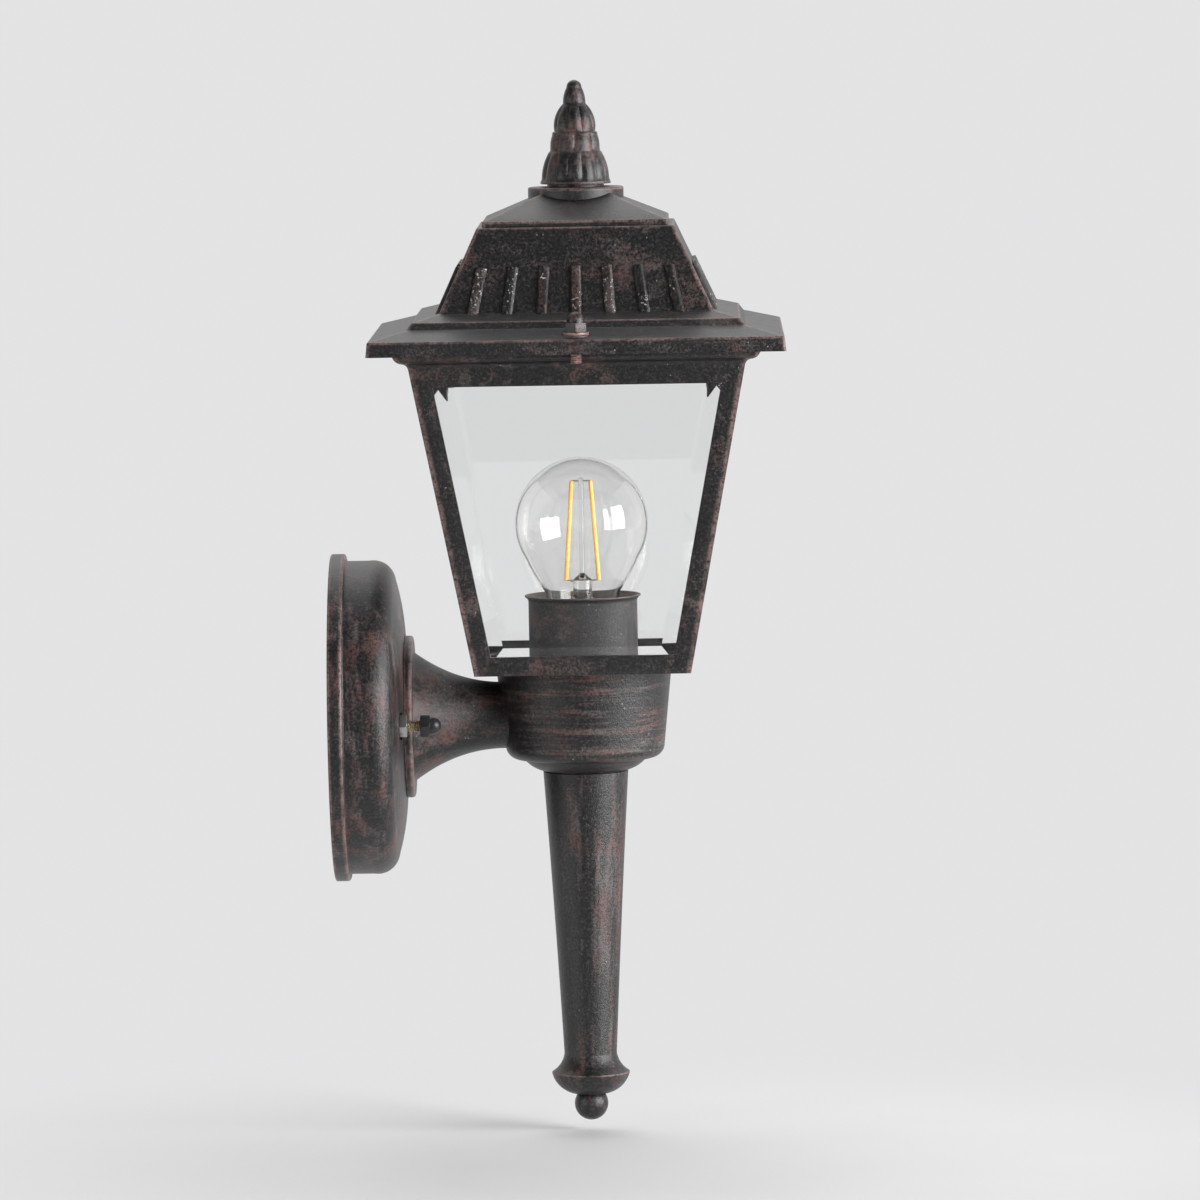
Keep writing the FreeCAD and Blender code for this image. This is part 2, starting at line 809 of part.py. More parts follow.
def glass_clips():
    """Tongues across the cage's upper corners with two points each, and a gusset in the corner."""
    corner = cage_half(cage_body_top_z) - cage_wall
    gusset_z = cage_body_top_z + clip_rise
    lean_room = cage_taper * clip_length
    inner_face = corner - pane_t - lean_room - clip_gap
    run = clip_width * math.sqrt(0.5)
    near = inner_face - run
    half = clip_width / 2
    foot_z = gusset_z - clip_length
    tongue_points = [
        (-half, gusset_z + clip_t),
        (-half, foot_z),
        (0, foot_z + clip_notch_h),
        (half, foot_z),
        (half, gusset_z + clip_t),
    ]
    tongue = outline(tongue_points).extrude(V(0, -clip_t, 0))
    tongue.rotate(V(0, 0, 0), V(0, 0, 1), -45)
    tongue.translate(V(lantern_x + (near + inner_face) / 2, (near + inner_face) / 2, 0))
    plan = [(near, inner_face), (inner_face, near), (corner, corner)]
    wire = Part.makePolygon([V(lantern_x + x, y, gusset_z) for x, y in plan + plan[:1]])
    clip = tongue.fuse(Part.Face(wire).extrude(V(0, 0, clip_t))).removeSplitter()
    return Part.makeCompound(round_lantern(clip))


def roof_studs():
    low = cage_top_z - roof_stud_drop
    high = roof_cap_nut_z + cap_thread_depth
    return Part.makeCompound([rod_z(m4_r, low, high, x, y) for x, y in roof_stud_places()])


# ---- roof and finial -------------------------------------------------------------------------


def eave_halves():
    """Half widths from the fascia's foot to the hip, each stepped in from the one below."""
    steps = [0, fascia_draft, eave_run, riser_draft, ledge_run, drum_draft, hip_inset]
    return [cornice_half() + fascia_out - sum(steps[: count + 1]) for count in range(len(steps))]


def drum_half(height):
    """Half width of the ribbed drum at a height above its foot."""
    return eave_halves()[4] - drum_draft * height / (drum_top - drum_foot)


def roof_rib(place):
    """One reed on the drum's front face; place counts from the middle one."""
    foot_z = cage_top_z + drum_foot - rib_drop

    def section(height, pitch):
        face = -drum_half(height)
        middle = lantern_x + place * pitch
        corners = [(-rib_width / 2, rib_root), (-rib_width / 2, -rib_proud / 2), (-rib_width / 4, -rib_proud)]
        corners += [(-u, v) for u, v in reversed(corners)]
        points = [V(middle + u, face + v, foot_z + height) for u, v in corners]
        return Part.makePolygon(points + points[:1])

    return Part.makeLoft([section(0, rib_pitch_foot), section(rib_h, rib_pitch_top)], True, True)


def roof():
    """Stepped eave, ribbed drum, hip cap and collar in one hollow casting."""
    base = cage_top_z
    foot_z = base - fascia_drop
    hip_z = base + drum_top + hip_fascia
    halves = eave_halves()
    peak_half = collar_r * peak_share
    peak_z = hip_z + (halves[6] - peak_half) * hip_slope
    levels = [base + level for level in (fascia_top, riser_foot, riser_top, drum_foot, drum_top, drum_top)]
    skin = list(zip(halves[1:], levels)) + [(halves[6], hip_z), (peak_half, peak_z)]
    inside = [(half - roof_wall_side, z - roof_wall_down) for half, z in skin]
    seat_outer = cornice_half() - seat_in
    seat_inner = inside[2][0] + riser_draft * seat_root_share
    seat_root = inside[2][1] - (riser_top - riser_foot) * seat_root_share
    seat_top = inside[0][1] + (inside[0][0] - seat_outer) * (riser_foot - fascia_top) / eave_run
    profile = [(0, foot_z), (halves[0], foot_z)] + skin + [(0, peak_z)]
    hollow = [(0, foot_z - 1), (halves[0] - roof_wall_side, foot_z - 1), inside[0]]
    hollow += [(seat_outer, seat_top), (seat_outer, base), (seat_inner, base), (seat_inner, seat_root)]
    hollow += inside[2:5] + inside[6:] + [(0, inside[-1][1])]
    solid = mitred(profile)
    ribs = [roof_rib(place) for place in range(-(rib_count // 2), rib_count // 2 + 1)]
    for rib in ribs:
        solid = solid.fuse(round_lantern(rib))
    solid = solid.fuse(rod_z(collar_r, hip_z, collar_top_z))
    for x, y in roof_stud_places():
        solid = solid.fuse(rod_z(roof_pad_r, base + fascia_top, roof_pad_z, x, y))
    shell = solid.cut(mitred(hollow))
    throat = rod_z(peak_half - roof_wall_side, hip_z - roof_wall_down, collar_top_z - roof_wall_down)
    shell = shell.cut(throat)
    for x, y in roof_stud_places():
        shell = shell.cut(rod_z(m4_r + 2 * screw_gap, base, roof_pad_z, x, y))
        shell = shell.cut(rod_z(roof_pad_r, roof_pad_z, roof_pad_z + 5, x, y))
    return shell.cut(rod_z(m5_r + screw_gap, base, collar_top_z)).removeSplitter()


def roof_washers():
    washer = ring(roof_washer_r, m4_r + 2 * screw_gap, roof_washer_t)
    return Part.makeCompound([along(washer, (x, y, roof_pad_z), (0, 0, 1)) for x, y in roof_stud_places()])


def roof_cap_nut(side):
    return along(cap_nut(), (lantern_x, side * (cornice_half() + roof_stud_out), roof_cap_nut_z), (0, 0, 1))


def grooves(radius, low, high, copies, start=0.0):
    """Round grooves evenly spaced about the lantern axis, from one (radius, z) point to another."""
    groove = rod_between(radius, (lantern_x + low[0], 0, low[1]), (lantern_x + high[0], 0, high[1]))
    return round_lantern(groove, copies, start)


def finial():
    """Fluted bell under two tiers of petals and a plain bud."""
    foot = collar_top_z + finial_gap
    neck = foot + bell_h
    upper = neck + low_tier_h
    bud = upper + high_tier_h
    crown = bud + bud_h - bud_crown_r
    body = turned_z(
        [
            (0, collar_top_z),
            (finial_spigot_r, collar_top_z),
            (finial_spigot_r, foot),
            (bell_r, foot),
            (bell_r, foot + bell_lip_h),
            (bell_r - bell_lip_w, foot + bell_lip_h + tier_lip),
            ((bell_neck_r, neck), bell_sagitta),
            (low_tier_r, neck + tier_lip),
            (low_tier_top_r, upper - 2 * tier_lip),
            (high_tier_r, upper),
            ((high_tier_top_r, bud - tier_lip), high_tier_sagitta),
            (bud_r, bud),
            (bud_crown_r, crown),
            ((0, bud + bud_h), bud_crown_r * quarter_bulge),
        ]
    )
    half_petal = 180.0 / tier_petals
    cuts = grooves(bell_flute_r, (bell_r + 0.2, foot + 1.8), (bell_neck_r + 1.1, neck + 0.5), bell_flutes)
    cuts += grooves(petal_groove_r, (low_tier_r + 0.35, neck), (low_tier_top_r + 0.35, upper), tier_petals)
    high_groove = (high_tier_r + 0.45, upper), (high_tier_top_r + 1.6, bud - 1)
    cuts += grooves(petal_groove_r, *high_groove, tier_petals, half_petal)
    for cut in cuts:
        body = body.cut(cut)
    return body.cut(rod_z(m5_r + slip, collar_top_z, collar_top_z + finial_rod_depth + end_room))


def finial_rod():
    return rod_z(m5_r, collar_top_z - roof_wall_down - finial_rod_tail, collar_top_z + finial_rod_depth)


def finial_nut():
    nut = hex_nut(m5_nut_flats, m5_nut_h, m5_r + slip)
    return along(nut, (lantern_x, 0, collar_top_z - roof_wall_down - m5_nut_h), (0, 0, 1))


# ---- lampholder ------------------------------------------------------------------------------


def lampholder_body():
    """Porcelain holder that hangs through the cage's floor."""
    floor_z = holder_foot_z + holder_floor
    body = turned_z(
        [
            (rivet_hole_r, holder_foot_z),
            (holder_r - holder_bevel, holder_foot_z),
            (holder_r, holder_foot_z + holder_bevel),
            (holder_r, holder_top_z - holder_lip),
            (holder_r - holder_lip, holder_top_z),
            (holder_bore_r, holder_top_z),
            (holder_bore_r, floor_z),
            (rivet_hole_r, floor_z),
        ]
    )
    for side in (-1, 1):
        y = side * holder_screw_pitch / 2
        hole_top = holder_foot_z + holder_screw_depth + end_room
        body = body.cut(rod_z(m3_r + slip, holder_foot_z, hole_top, lantern_x, y))
    return body


def lampholder_shell():
    """Brass shell that the bulb's cap screws into."""
    foot = holder_foot_z + holder_floor
    outer = shell_r + shell_t
    return turned_z(
        [
            (shell_hole_r, foot),
            (outer, foot),
            (outer, foot + shell_h),
            (shell_r, foot + shell_h),
            (shell_r, foot + shell_t),
            (shell_hole_r, foot + shell_t),
        ]
    )


def lampholder_contact():
    """Sprung tongue under the bulb's contact, riveted through the porcelain."""
    floor_z = holder_foot_z + holder_floor
    top = bulb_contact_z
    foot_top = floor_z + contact_t
    under = top - contact_t
    foot = [(-contact_reach, floor_z), (contact_foot, floor_z), (contact_foot, foot_top)]
    foot.append((-contact_root, foot_top))
    pad = [(-contact_pad, under), (contact_pad, under), (contact_nose, under - contact_t)]
    pad += [(contact_nose, under), (contact_foot, top), (-contact_foot, top), (-contact_reach, foot_top)]
    strip = outline(foot + pad).extrude(V(0, contact_width, 0))
    strip.translate(V(lantern_x, -contact_width / 2, 0))
    rivet = rod_z(rivet_r, holder_foot_z - rivet_drop, foot_top)
    return strip.fuse(rivet).removeSplitter()


def holder_bracket():
    """Strap bent up at both ends that hangs the lampholder from the cage's floor."""
    foot = holder_foot_z - bracket_t
    outer = bracket_inner + bracket_t
    tab = outer + bracket_tab
    inside = [(tab, cup_top_z - bracket_t), (outer, cup_top_z - bracket_t), (outer, foot)]
    outside = [(bracket_inner, holder_foot_z), (bracket_inner, cup_top_z), (tab, cup_top_z)]
    section = inside + [(-y, z) for y, z in reversed(inside)]
    section += [(-y, z) for y, z in reversed(outside)] + outside
    strap = outline(section).extrude(V(0, bracket_width, 0))
    strap = along(strap, (0, 0, 0), (0, 0, 1))
    strap.rotate(V(0, 0, 0), V(0, 0, 1), 90)
    strap.translate(V(lantern_x + bracket_width / 2, 0, 0))
    strap = strap.cut(rod_z(rivet_head_r, foot, holder_foot_z))
    for side in (-1, 1):
        y = side * holder_screw_pitch / 2
        strap = strap.cut(rod_z(m3_r + screw_gap, foot, holder_foot_z, lantern_x, y))
        y = side * bracket_screw_pitch / 2
        strap = strap.cut(rod_z(m3_r + slip, cup_top_z - bracket_t, cup_top_z, lantern_x, y))
    return strap


def bracket_screws():
    """Two screws down through the socket cup's ears, the floor and the bracket."""
    screw = pan_screw(m3_r, m3_head_r, m3_head_h, socket_cup_t + cage_floor + bracket_t + bracket_screw_end)
    top = floor_top_z + socket_cup_t
    places = [(lantern_x, side * bracket_screw_pitch / 2, top) for side in (-1, 1)]
    return Part.makeCompound([along(screw, place, (0, 0, 1)) for place in places])


def holder_screws():
    """Two screws up through the bracket into the porcelain."""
    screw = pan_screw(m3_r, m3_head_r, m3_head_h, bracket_t + holder_screw_depth)
    foot = holder_foot_z - bracket_t
    places = [(lantern_x, side * holder_screw_pitch / 2, foot) for side in (-1, 1)]
    return Part.makeCompound([along(screw, place, (0, 0, -1)) for place in places])


def socket_cup():
    """Thin flared sleeve round the lampholder, with two ears on the floor."""
    inner = socket_cup_r - socket_cup_t
    foot = floor_top_z
    sleeve = turned_z(
        [
            (inner, foot),
            (socket_cup_r, foot),
            (socket_cup_r, socket_cup_rim_z - socket_rim_h - socket_flare_h),
            (socket_cup_rim_r, socket_cup_rim_z - socket_rim_h),
            (socket_cup_rim_r, socket_cup_rim_z),
            (socket_cup_rim_r - socket_rim_w, socket_cup_rim_z),
            (inner, socket_cup_rim_z - socket_flare_h),
        ]
    )
    half = bracket_screw_pitch / 2
    for side in (-1, 1):
        y = side * half
        reach = sorted((side * (inner + socket_cup_t / 2), y))
        ear = rod_z(socket_ear_r, foot, foot + socket_cup_t, lantern_x, y)
        across = (lantern_x - socket_ear_r, lantern_x + socket_ear_r)
        ear = ear.fuse(block(across, reach, (foot, foot + socket_cup_t)))
        ear = ear.cut(rod_z(inner + slip, foot, foot + socket_cup_t))
        ear = ear.cut(rod_z(m3_r + screw_gap, foot, foot + socket_cup_t, lantern_x, y))
        sleeve = sleeve.fuse(ear)
    return sleeve.removeSplitter()


# ---- bulb ------------------------------------------------------------------------------------


def globe_profile(wall):
    """Points of the globe from its crown to the neck's foot, moved in by a wall."""
    radius = globe_r - wall
    turn = math.radians(globe_cone_angle)
    cone = (radius * math.cos(turn), globe_z - radius * math.sin(turn))
    equator_sagitta = radius * quarter_bulge
    lower_sagitta = radius * (1 - math.cos(turn / 2))
    return [
        (0, globe_z + radius),
        ((radius, globe_z), -equator_sagitta),
        (cone, -lower_sagitta),
        (neck_r - wall + neck_bend, neck_z + neck_bend_above),
        (neck_r - wall, neck_z - neck_bend_below),
        (neck_r - wall, neck_foot_z),
    ]


def bulb_globe():
    solid = turned_z(globe_profile(0) + [(0, neck_foot_z)])
    return solid.cut(turned_z(globe_profile(globe_wall) + [(0, neck_foot_z)]))


def bulb_cap():
    inner = neck_r + slip
    return turned_z(
        [
            (insulator_r, cap_foot_z - cap_dish),
            (cap_r - cap_bevel, cap_foot_z),
            (cap_r, cap_foot_z + cap_bevel),
            (cap_r, cap_top_z),
            (inner, cap_top_z),
            (inner, cap_foot_z + cap_bevel + cap_t / 2),
            (insulator_r, cap_foot_z - cap_dish + cap_t),
        ]
    )


def bulb_insulator():
    low = bulb_contact_z + bulb_contact_h
    high = cap_foot_z - cap_dish + cap_t
    return turned_z([(0, low), (bulb_contact_r, low), (insulator_r, high), (0, high)])


def bulb_contact():
    low = bulb_contact_z
    high = low + bulb_contact_h
    return turned_z([(0, low), (bulb_contact_r - bulb_contact_h, low), (bulb_contact_r, high), (0, high)])


def bulb_stem():
    """Glass flare, pinch and rod inside the globe."""
    return turned_z(
        [
            (0, neck_foot_z),
            (neck_r - globe_wall, neck_foot_z),
            (neck_r - globe_wall, neck_foot_z + stem_foot_t),
            (stem_r, stem_pinch_z - stem_tube_h),
            (stem_r, stem_pinch_z - stem_pinch_h),
            (stem_rod_r, stem_pinch_z),
            (stem_rod_r, filament_top_z + stem_rod_end),
            (0, filament_top_z + stem_rod_end),
        ]
    )


def bulb_filaments():
    return Part.makeCompound(
        [
            rod_between(
                filament_r,
                (lantern_x + side * filament_foot_half, 0, filament_foot_z),
                (lantern_x + side * filament_top_half, 0, filament_top_z),
            )
            for side in (-1, 1)
        ]
    )


def filament_wires():
    """Support wires from the stem to both ends of each filament."""
    wires = []
    clear = filament_wire_r
    for side in (-1, 1):
        top = (lantern_x + side * filament_top_half, 0, filament_top_z + clear)
        wires.append(rod_between(clear, (lantern_x + side * stem_rod_r, 0, filament_top_z + clear), top))
        foot = (lantern_x + side * filament_foot_half, 0, filament_foot_z - clear)
        root = (lantern_x + side * stem_r, 0, stem_pinch_z - (stem_pinch_h + stem_tube_h) / 2)
        wires.append(rod_between(clear, root, foot))
    return Part.makeCompound(wires)


# ---- wiring ----------------------------------------------------------------------------------


def terminal_block():
    """Three-pole connector screwed to the inside of the canopy."""
    back = pan_depth - pan_wall
    depth = (back - block_depth, back)
    body = block(depth, (block_y, block_y + block_width), (-block_length / 2, block_length / 2))
    for pole in (-1, 0, 1):
        z = pole * block_pole_pitch
        y = block_y + block_width / 2
        screw_hole = rod_x(block_hole_r, depth[0], depth[0] + block_hole_depth, y, z)
        body = body.cut(screw_hole)
    return body


def lead_x():
    return pan_depth - pan_wall - block_depth / 2


def live_lead():
    x = lead_x()
    points = [
        (x, block_y, -block_pole_pitch),
        (x, 0.5, -block_pole_pitch),
        (x + lead_slant, -lead_offset, 0),
        (lead_turn_x, -lead_offset, 0),
        (terminal_x, -terminal_half, 0),
        (terminal_x, -terminal_half, holder_foot_z),
    ]
    return bent_tube(points, lead_r)


def neutral_lead():
    x = lead_x()
    points = [
        (x, block_y, 0),
        (x, lead_offset, 0),
        (lead_turn_x, lead_offset, 0),
        (terminal_x, terminal_half, 0),
        (terminal_x, terminal_half, holder_foot_z),
    ]
    return bent_tube(points, lead_r)


def earth_lead():
    x = lead_x()
    near_face = pan_depth - pan_wall - lead_r - 0.1
    ring_edge = earth_screw_y + earth_ring_r
    points = [
        (x, block_y, block_pole_pitch),
        (x, -2.0, block_pole_pitch),
        (near_face, -7.0, 0),
        (near_face, ring_edge, 0),
    ]
    return bent_tube(points, lead_r)


def earth_screw():
    """Earth screw and ring terminal on the inside of the canopy."""
    back = pan_depth - pan_wall
    screw = pan_screw(m4_r, m4_head_r - 0.1, m4_head_h, earth_ring_t + pan_wall)
    screw = along(screw, (back - earth_ring_t, earth_screw_y, 0), (-1, 0, 0))
    eyelet = ring(earth_ring_r, m4_r + slip, earth_ring_t)
    washer = along(eyelet, (back - earth_ring_t, earth_screw_y, 0), (1, 0, 0))
    return Part.makeCompound([screw, washer])


# ---- nodes -----------------------------------------------------------------------------------

NODES = {
    "wall_canopy": wall_canopy,
    "mounting_strap": mounting_strap,
    "wall_studs": wall_studs,
    "wall_hex_nuts": wall_hex_nuts,
    "wall_cap_nut_near": lambda: wall_cap_nut(-1),
    "wall_cap_nut_far": lambda: wall_cap_nut(1),
    "arm": arm,
    "arm_screws": arm_screws,
    "arm_nipple": arm_nipple,
    "arm_nut": arm_nut,
    "cup": cup,
    "tail": tail,
    "tail_ball": tail_ball,
    "tie_rod": tie_rod,
    "tie_rod_washer": tie_rod_washer,
    "tie_rod_nut": tie_rod_nut,
    "cage": cage,
    "cage_screws": cage_screws,
    "pane_near": lambda: pane(0),
    "pane_front": lambda: pane(90),
    "pane_far": lambda: pane(180),
    "pane_wall": lambda: pane(270),
    "glass_clips": glass_clips,
    "roof_studs": roof_studs,
    "roof": roof,
    "roof_washers": roof_washers,
    "roof_cap_nut_near": lambda: roof_cap_nut(-1),
    "roof_cap_nut_far": lambda: roof_cap_nut(1),
    "finial": finial,
    "finial_rod": finial_rod,
    "finial_nut": finial_nut,
    "lampholder_body": lampholder_body,
    "lampholder_shell": lampholder_shell,
    "lampholder_contact": lampholder_contact,
    "holder_bracket": holder_bracket,
    "bracket_screws": bracket_screws,
    "holder_screws": holder_screws,
    "socket_cup": socket_cup,
    "bulb_globe": bulb_globe,
    "bulb_cap": bulb_cap,
    "bulb_insulator": bulb_insulator,
    "bulb_contact": bulb_contact,
    "bulb_stem": bulb_stem,
    "bulb_filaments": bulb_filaments,
    "filament_wires": filament_wires,
    "terminal_block": terminal_block,
    "live_lead": live_lead,
    "neutral_lead": neutral_lead,
    "earth_lead": earth_lead,
    "earth_screw": earth_screw,
}


def main():
    os.makedirs("parts", exist_ok=True)
    for name, make in NODES.items():
        shape = make()
        print(f"{name}: {len(shape.Solids)} solid, {shape.Volume:.1f} mm3, valid {shape.isValid()}")
        shape.exportStep(f"parts/{name}.step")


main()
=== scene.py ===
"""Torch sconce, dressed: brushed castings, bevelled glass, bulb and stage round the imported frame.

The frame's axes: the wall is X = 0, +X points out of it along the arm, +Z is up. Blender's lengths are
metres. Outlines, landmarks and patterns are in millimetres, and become metres where a mesh is made.
"""

import math
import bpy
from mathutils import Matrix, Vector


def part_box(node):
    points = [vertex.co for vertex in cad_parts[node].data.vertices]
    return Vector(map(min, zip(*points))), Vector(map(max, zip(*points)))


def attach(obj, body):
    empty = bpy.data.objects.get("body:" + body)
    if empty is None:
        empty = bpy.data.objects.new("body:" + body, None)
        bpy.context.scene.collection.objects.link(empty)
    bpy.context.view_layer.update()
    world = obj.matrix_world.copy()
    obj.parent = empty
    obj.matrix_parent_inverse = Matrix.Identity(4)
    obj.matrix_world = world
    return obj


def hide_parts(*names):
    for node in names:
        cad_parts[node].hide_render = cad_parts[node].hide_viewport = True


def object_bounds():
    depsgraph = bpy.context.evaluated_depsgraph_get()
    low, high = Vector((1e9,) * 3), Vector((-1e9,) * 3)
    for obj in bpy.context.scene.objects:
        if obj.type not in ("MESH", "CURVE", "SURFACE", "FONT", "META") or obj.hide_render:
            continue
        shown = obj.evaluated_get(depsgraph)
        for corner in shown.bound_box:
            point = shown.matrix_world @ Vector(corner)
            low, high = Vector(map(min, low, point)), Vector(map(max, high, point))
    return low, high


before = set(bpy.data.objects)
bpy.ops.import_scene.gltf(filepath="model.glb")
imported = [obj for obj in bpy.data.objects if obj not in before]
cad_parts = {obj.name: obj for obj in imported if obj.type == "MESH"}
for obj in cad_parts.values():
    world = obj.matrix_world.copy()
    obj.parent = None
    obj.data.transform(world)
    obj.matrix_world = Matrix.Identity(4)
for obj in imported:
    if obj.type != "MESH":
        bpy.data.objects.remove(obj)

from types import SimpleNamespace

import bmesh
import bpy
from bpy.props import FloatProperty, FloatVectorProperty, IntProperty, PointerProperty
from mathutils import Matrix, Vector

bl_info = {
    "name": "Torch Sconce",
    "version": (1, 0, 0),
    "blender": (4, 5, 0),
    "location": "3D View > Sidebar > Torch Sconce",
    "description": "Builds the dressed torch sconce, piece by piece, round its packed frame",
    "category": "Object",
}

mm = 0.001
cad_low, cad_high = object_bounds()
low = {name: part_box(name)[0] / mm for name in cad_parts}
high = {name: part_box(name)[1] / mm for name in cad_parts}

# Landmarks of the frame
axis_x = (low["roof"].x + high["roof"].x) / 2
cage_top_z = high["cage"].z
pan_depth = high["wall_canopy"].x
rim_r = high["wall_canopy"].y
cup_top_z = high["cup"].z
cup_foot_z = low["cup"].z
cup_top_r = high["cup"].y
tail_end_z = low["tail"].z
collar_top_z = high["roof"].z
stud_y = (low["wall_cap_nut_far"].y + high["wall_cap_nut_far"].y) / 2
roof_stud_y = (low["roof_cap_nut_far"].y + high["roof_cap_nut_far"].y) / 2
floor_z = cad_low.z / mm - 3.5
pinch_z = 48.0  # height at which the bulb's stem closes on its wires
on_axis = (axis_x, 0.0)


# ---- settings that a user would change


def number(name, description, value, **kind):
    return FloatProperty(name=name, description=description, default=value, **kind)


def length(name, description, size, soft_max=0.1):
    return number(name, description, size, min=0.0, soft_max=soft_max, unit="LENGTH")


def count(name, description, value, least):
    return IntProperty(name=name, description=description, default=value, min=least)


def colour(name, description, tint):
    return FloatVectorProperty(
        name=name, description=description, default=tint, size=3, min=0.0, max=1.0, subtype="COLOR"
    )


class SconceSizes(bpy.types.PropertyGroup):
    """Sizes of the detail that the dressed pieces add to the frame."""

    edge: length("Casting edge", "Radius of the castings' edges", 0.55 * mm)
    corner: length("Roof corner", "Radius of the roof's upright corners", 0.8 * mm)
    wear_band: length("Wear band", "How far worn paint reaches from an edge", 0.5 * mm)
    rib_count: count("Ribs per side", "Ribs on each side of the roof", 7, 1)
    rib_width: length("Rib width", "Width of a roof rib", 3.6 * mm)
    rib_proud: length("Rib height", "How far a rib stands out of the drum", 1.2 * mm)
    rib_length: length("Rib length", "Length of a roof rib up the drum", 15.8 * mm)
    petals: count("Petals", "Petals round each tier of the finial", 8, 3)
    flutes: count("Flutes", "Flutes round the finial's bell", 14, 3)
    petal_depth: length("Petal depth", "Depth of the valleys between petals", 0.75 * mm)
    thread_pitch: length("Thread pitch", "Pitch of the studs' thread", 0.7 * mm)
    bulb_wall: length("Bulb wall", "Thickness of the bulb's glass", 0.7 * mm)


class SconceColours(bpy.types.PropertyGroup):
    """Colours of the finishes."""

    paint: colour("Paint", "Dark bronze paint under the brushing", (0.0105, 0.0098, 0.0107))
    brushing: colour("Brushing", "Copper brown brushed over the paint", (0.138, 0.068, 0.058))
    rubbed: colour("Rubbed edges", "Pinkish grey where edges are rubbed", (0.24, 0.155, 0.145))
    # Bloom is the grey of the brushing's random tone, and also of the painted highlight on the grain's tops.
    bloom_and_grain_highlight: colour("Bloom", "Grey bloom on the highest grains", (0.125, 0.101, 0.098))
    # The chips colour also paints the small pale specks that stand in for glints on the paint.
    chips: colour("Chips", "Bare metal in small chips", (0.62, 0.62, 0.60))
    zinc: colour("Zinc", "Bright zinc plate", (0.50, 0.50, 0.49))
    thread: colour("Thread", "Yellow zinc on the studs", (0.50, 0.42, 0.27))
    filament: colour("Filament", "Phosphor of the filaments", (0.88, 0.42, 0.07))
    background: colour("Background", "Floor and surroundings", (0.770, 0.770, 0.780))


class SconceStage(bpy.types.PropertyGroup):
    """Camera and lamps."""

    distance: length("Camera distance", "From the camera to the point that it looks at", 2.9, 10.0)
    azimuth: number("Azimuth", "Camera's turn", math.radians(0.66), subtype="ANGLE")
    elevation: number("Elevation", "Camera's rise", math.radians(4.56), subtype="ANGLE")
    roll: number("Roll", "Camera's lean", math.radians(-0.988), subtype="ANGLE")
    lens_per_metre: number("Lens", "Focal length in mm for each metre of distance", 88.7, min=1.0)
    key_power: number("Top lamp", "Power of the lamp overhead", 6.0, subtype="POWER")
    side_power: number("Side lamp", "Power of the lamp on the right", 42.0, subtype="POWER")
    fill: number("Fill", "Strength of the light from all round", 0.74, min=0.0)


def sizes():
    """The sizes as set, with counts as they are and lengths in millimetres."""
    group = bpy.context.scene.sconce_sizes
    values = {name: getattr(group, name) for name in SconceSizes.__annotations__}
    return SimpleNamespace(
        **{name: value if isinstance(value, int) else value / mm for name, value in values.items()}
    )


def colours():
    group = bpy.context.scene.sconce_colours
    return SimpleNamespace(**{name: tuple(getattr(group, name)) for name in SconceColours.__annotations__})


# ---- outlines and meshes


tiny = 1e-4  # a length that counts as none


def arc(start, end, sagitta, steps=16):
    """Points after start up to end on an arc; a positive sagitta bulges to the right of the way."""
    start, end = Vector(start), Vector(end)
    run = end - start
    if abs(sagitta) < tiny:
        return [tuple(end)]
    radius = (run.length**2 / 4 + sagitta**2) / (2 * abs(sagitta))
    side = Vector((run.y, -run.x)).normalized() * (1 if sagitta > 0 else -1)
    centre = (start + end) / 2 + side * (abs(sagitta) - radius)
    first = math.atan2(start.y - centre.y, start.x - centre.x)
    sweep = math.atan2(end.y - centre.y, end.x - centre.x) - first
    sweep = (sweep + math.pi) % (2 * math.pi) - math.pi
    turns = [first + sweep * step / steps for step in range(1, steps + 1)]
    return [(centre.x + radius * math.cos(turn), centre.y + radius * math.sin(turn)) for turn in turns]


def rounded(corners, closed=True, steps=4):
    """Outline of (u, v, wear) through (u, v) or (u, v, radius) corners, with rounded, worn corners."""
    band = sizes().wear_band
    points = [Vector(corner[:2]) for corner in corners]
    radii = [corner[2] if len(corner) > 2 else 0.0 for corner in corners]
    count = len(points)
    area = sum(a.x * b.y - b.x * a.y for a, b in zip(points, points[1:] + points[:1]))
    outline = []
    for i, (point, radius) in enumerate(zip(points, radii)):
        ends = not closed and i in (0, count - 1)
        if radius <= 0 or ends:
            outline.append((point.x, point.y, 0.0))
            continue
        back, ahead = points[i - 1] - point, points[(i + 1) % count] - point
        half = back.angle(ahead) / 2
        trim = min(radius / math.tan(half), 0.45 * min(back.length, ahead.length))
        bend = trim * math.tan(half)
        fades = [min(trim + band, 0.49 * way.length) for way in (back, ahead)]
        back.normalize()
        ahead.normalize()
        convex = (ahead.x * back.y - ahead.y * back.x) * area > 0
        wear = 1.0 if convex else 0.0
        centre = point + (back + ahead).normalized() * (bend / math.sin(half))
        first = point + back * trim - centre
        last = point + ahead * trim - centre
        outline.append((*(point + back * fades[0]), 0.0))
        for step in range(steps + 1):
            outline.append((*(centre + first.slerp(last, step / steps, first) * bend), wear))
        outline.append((*(point + ahead * fades[1]), 0.0))
    return outline


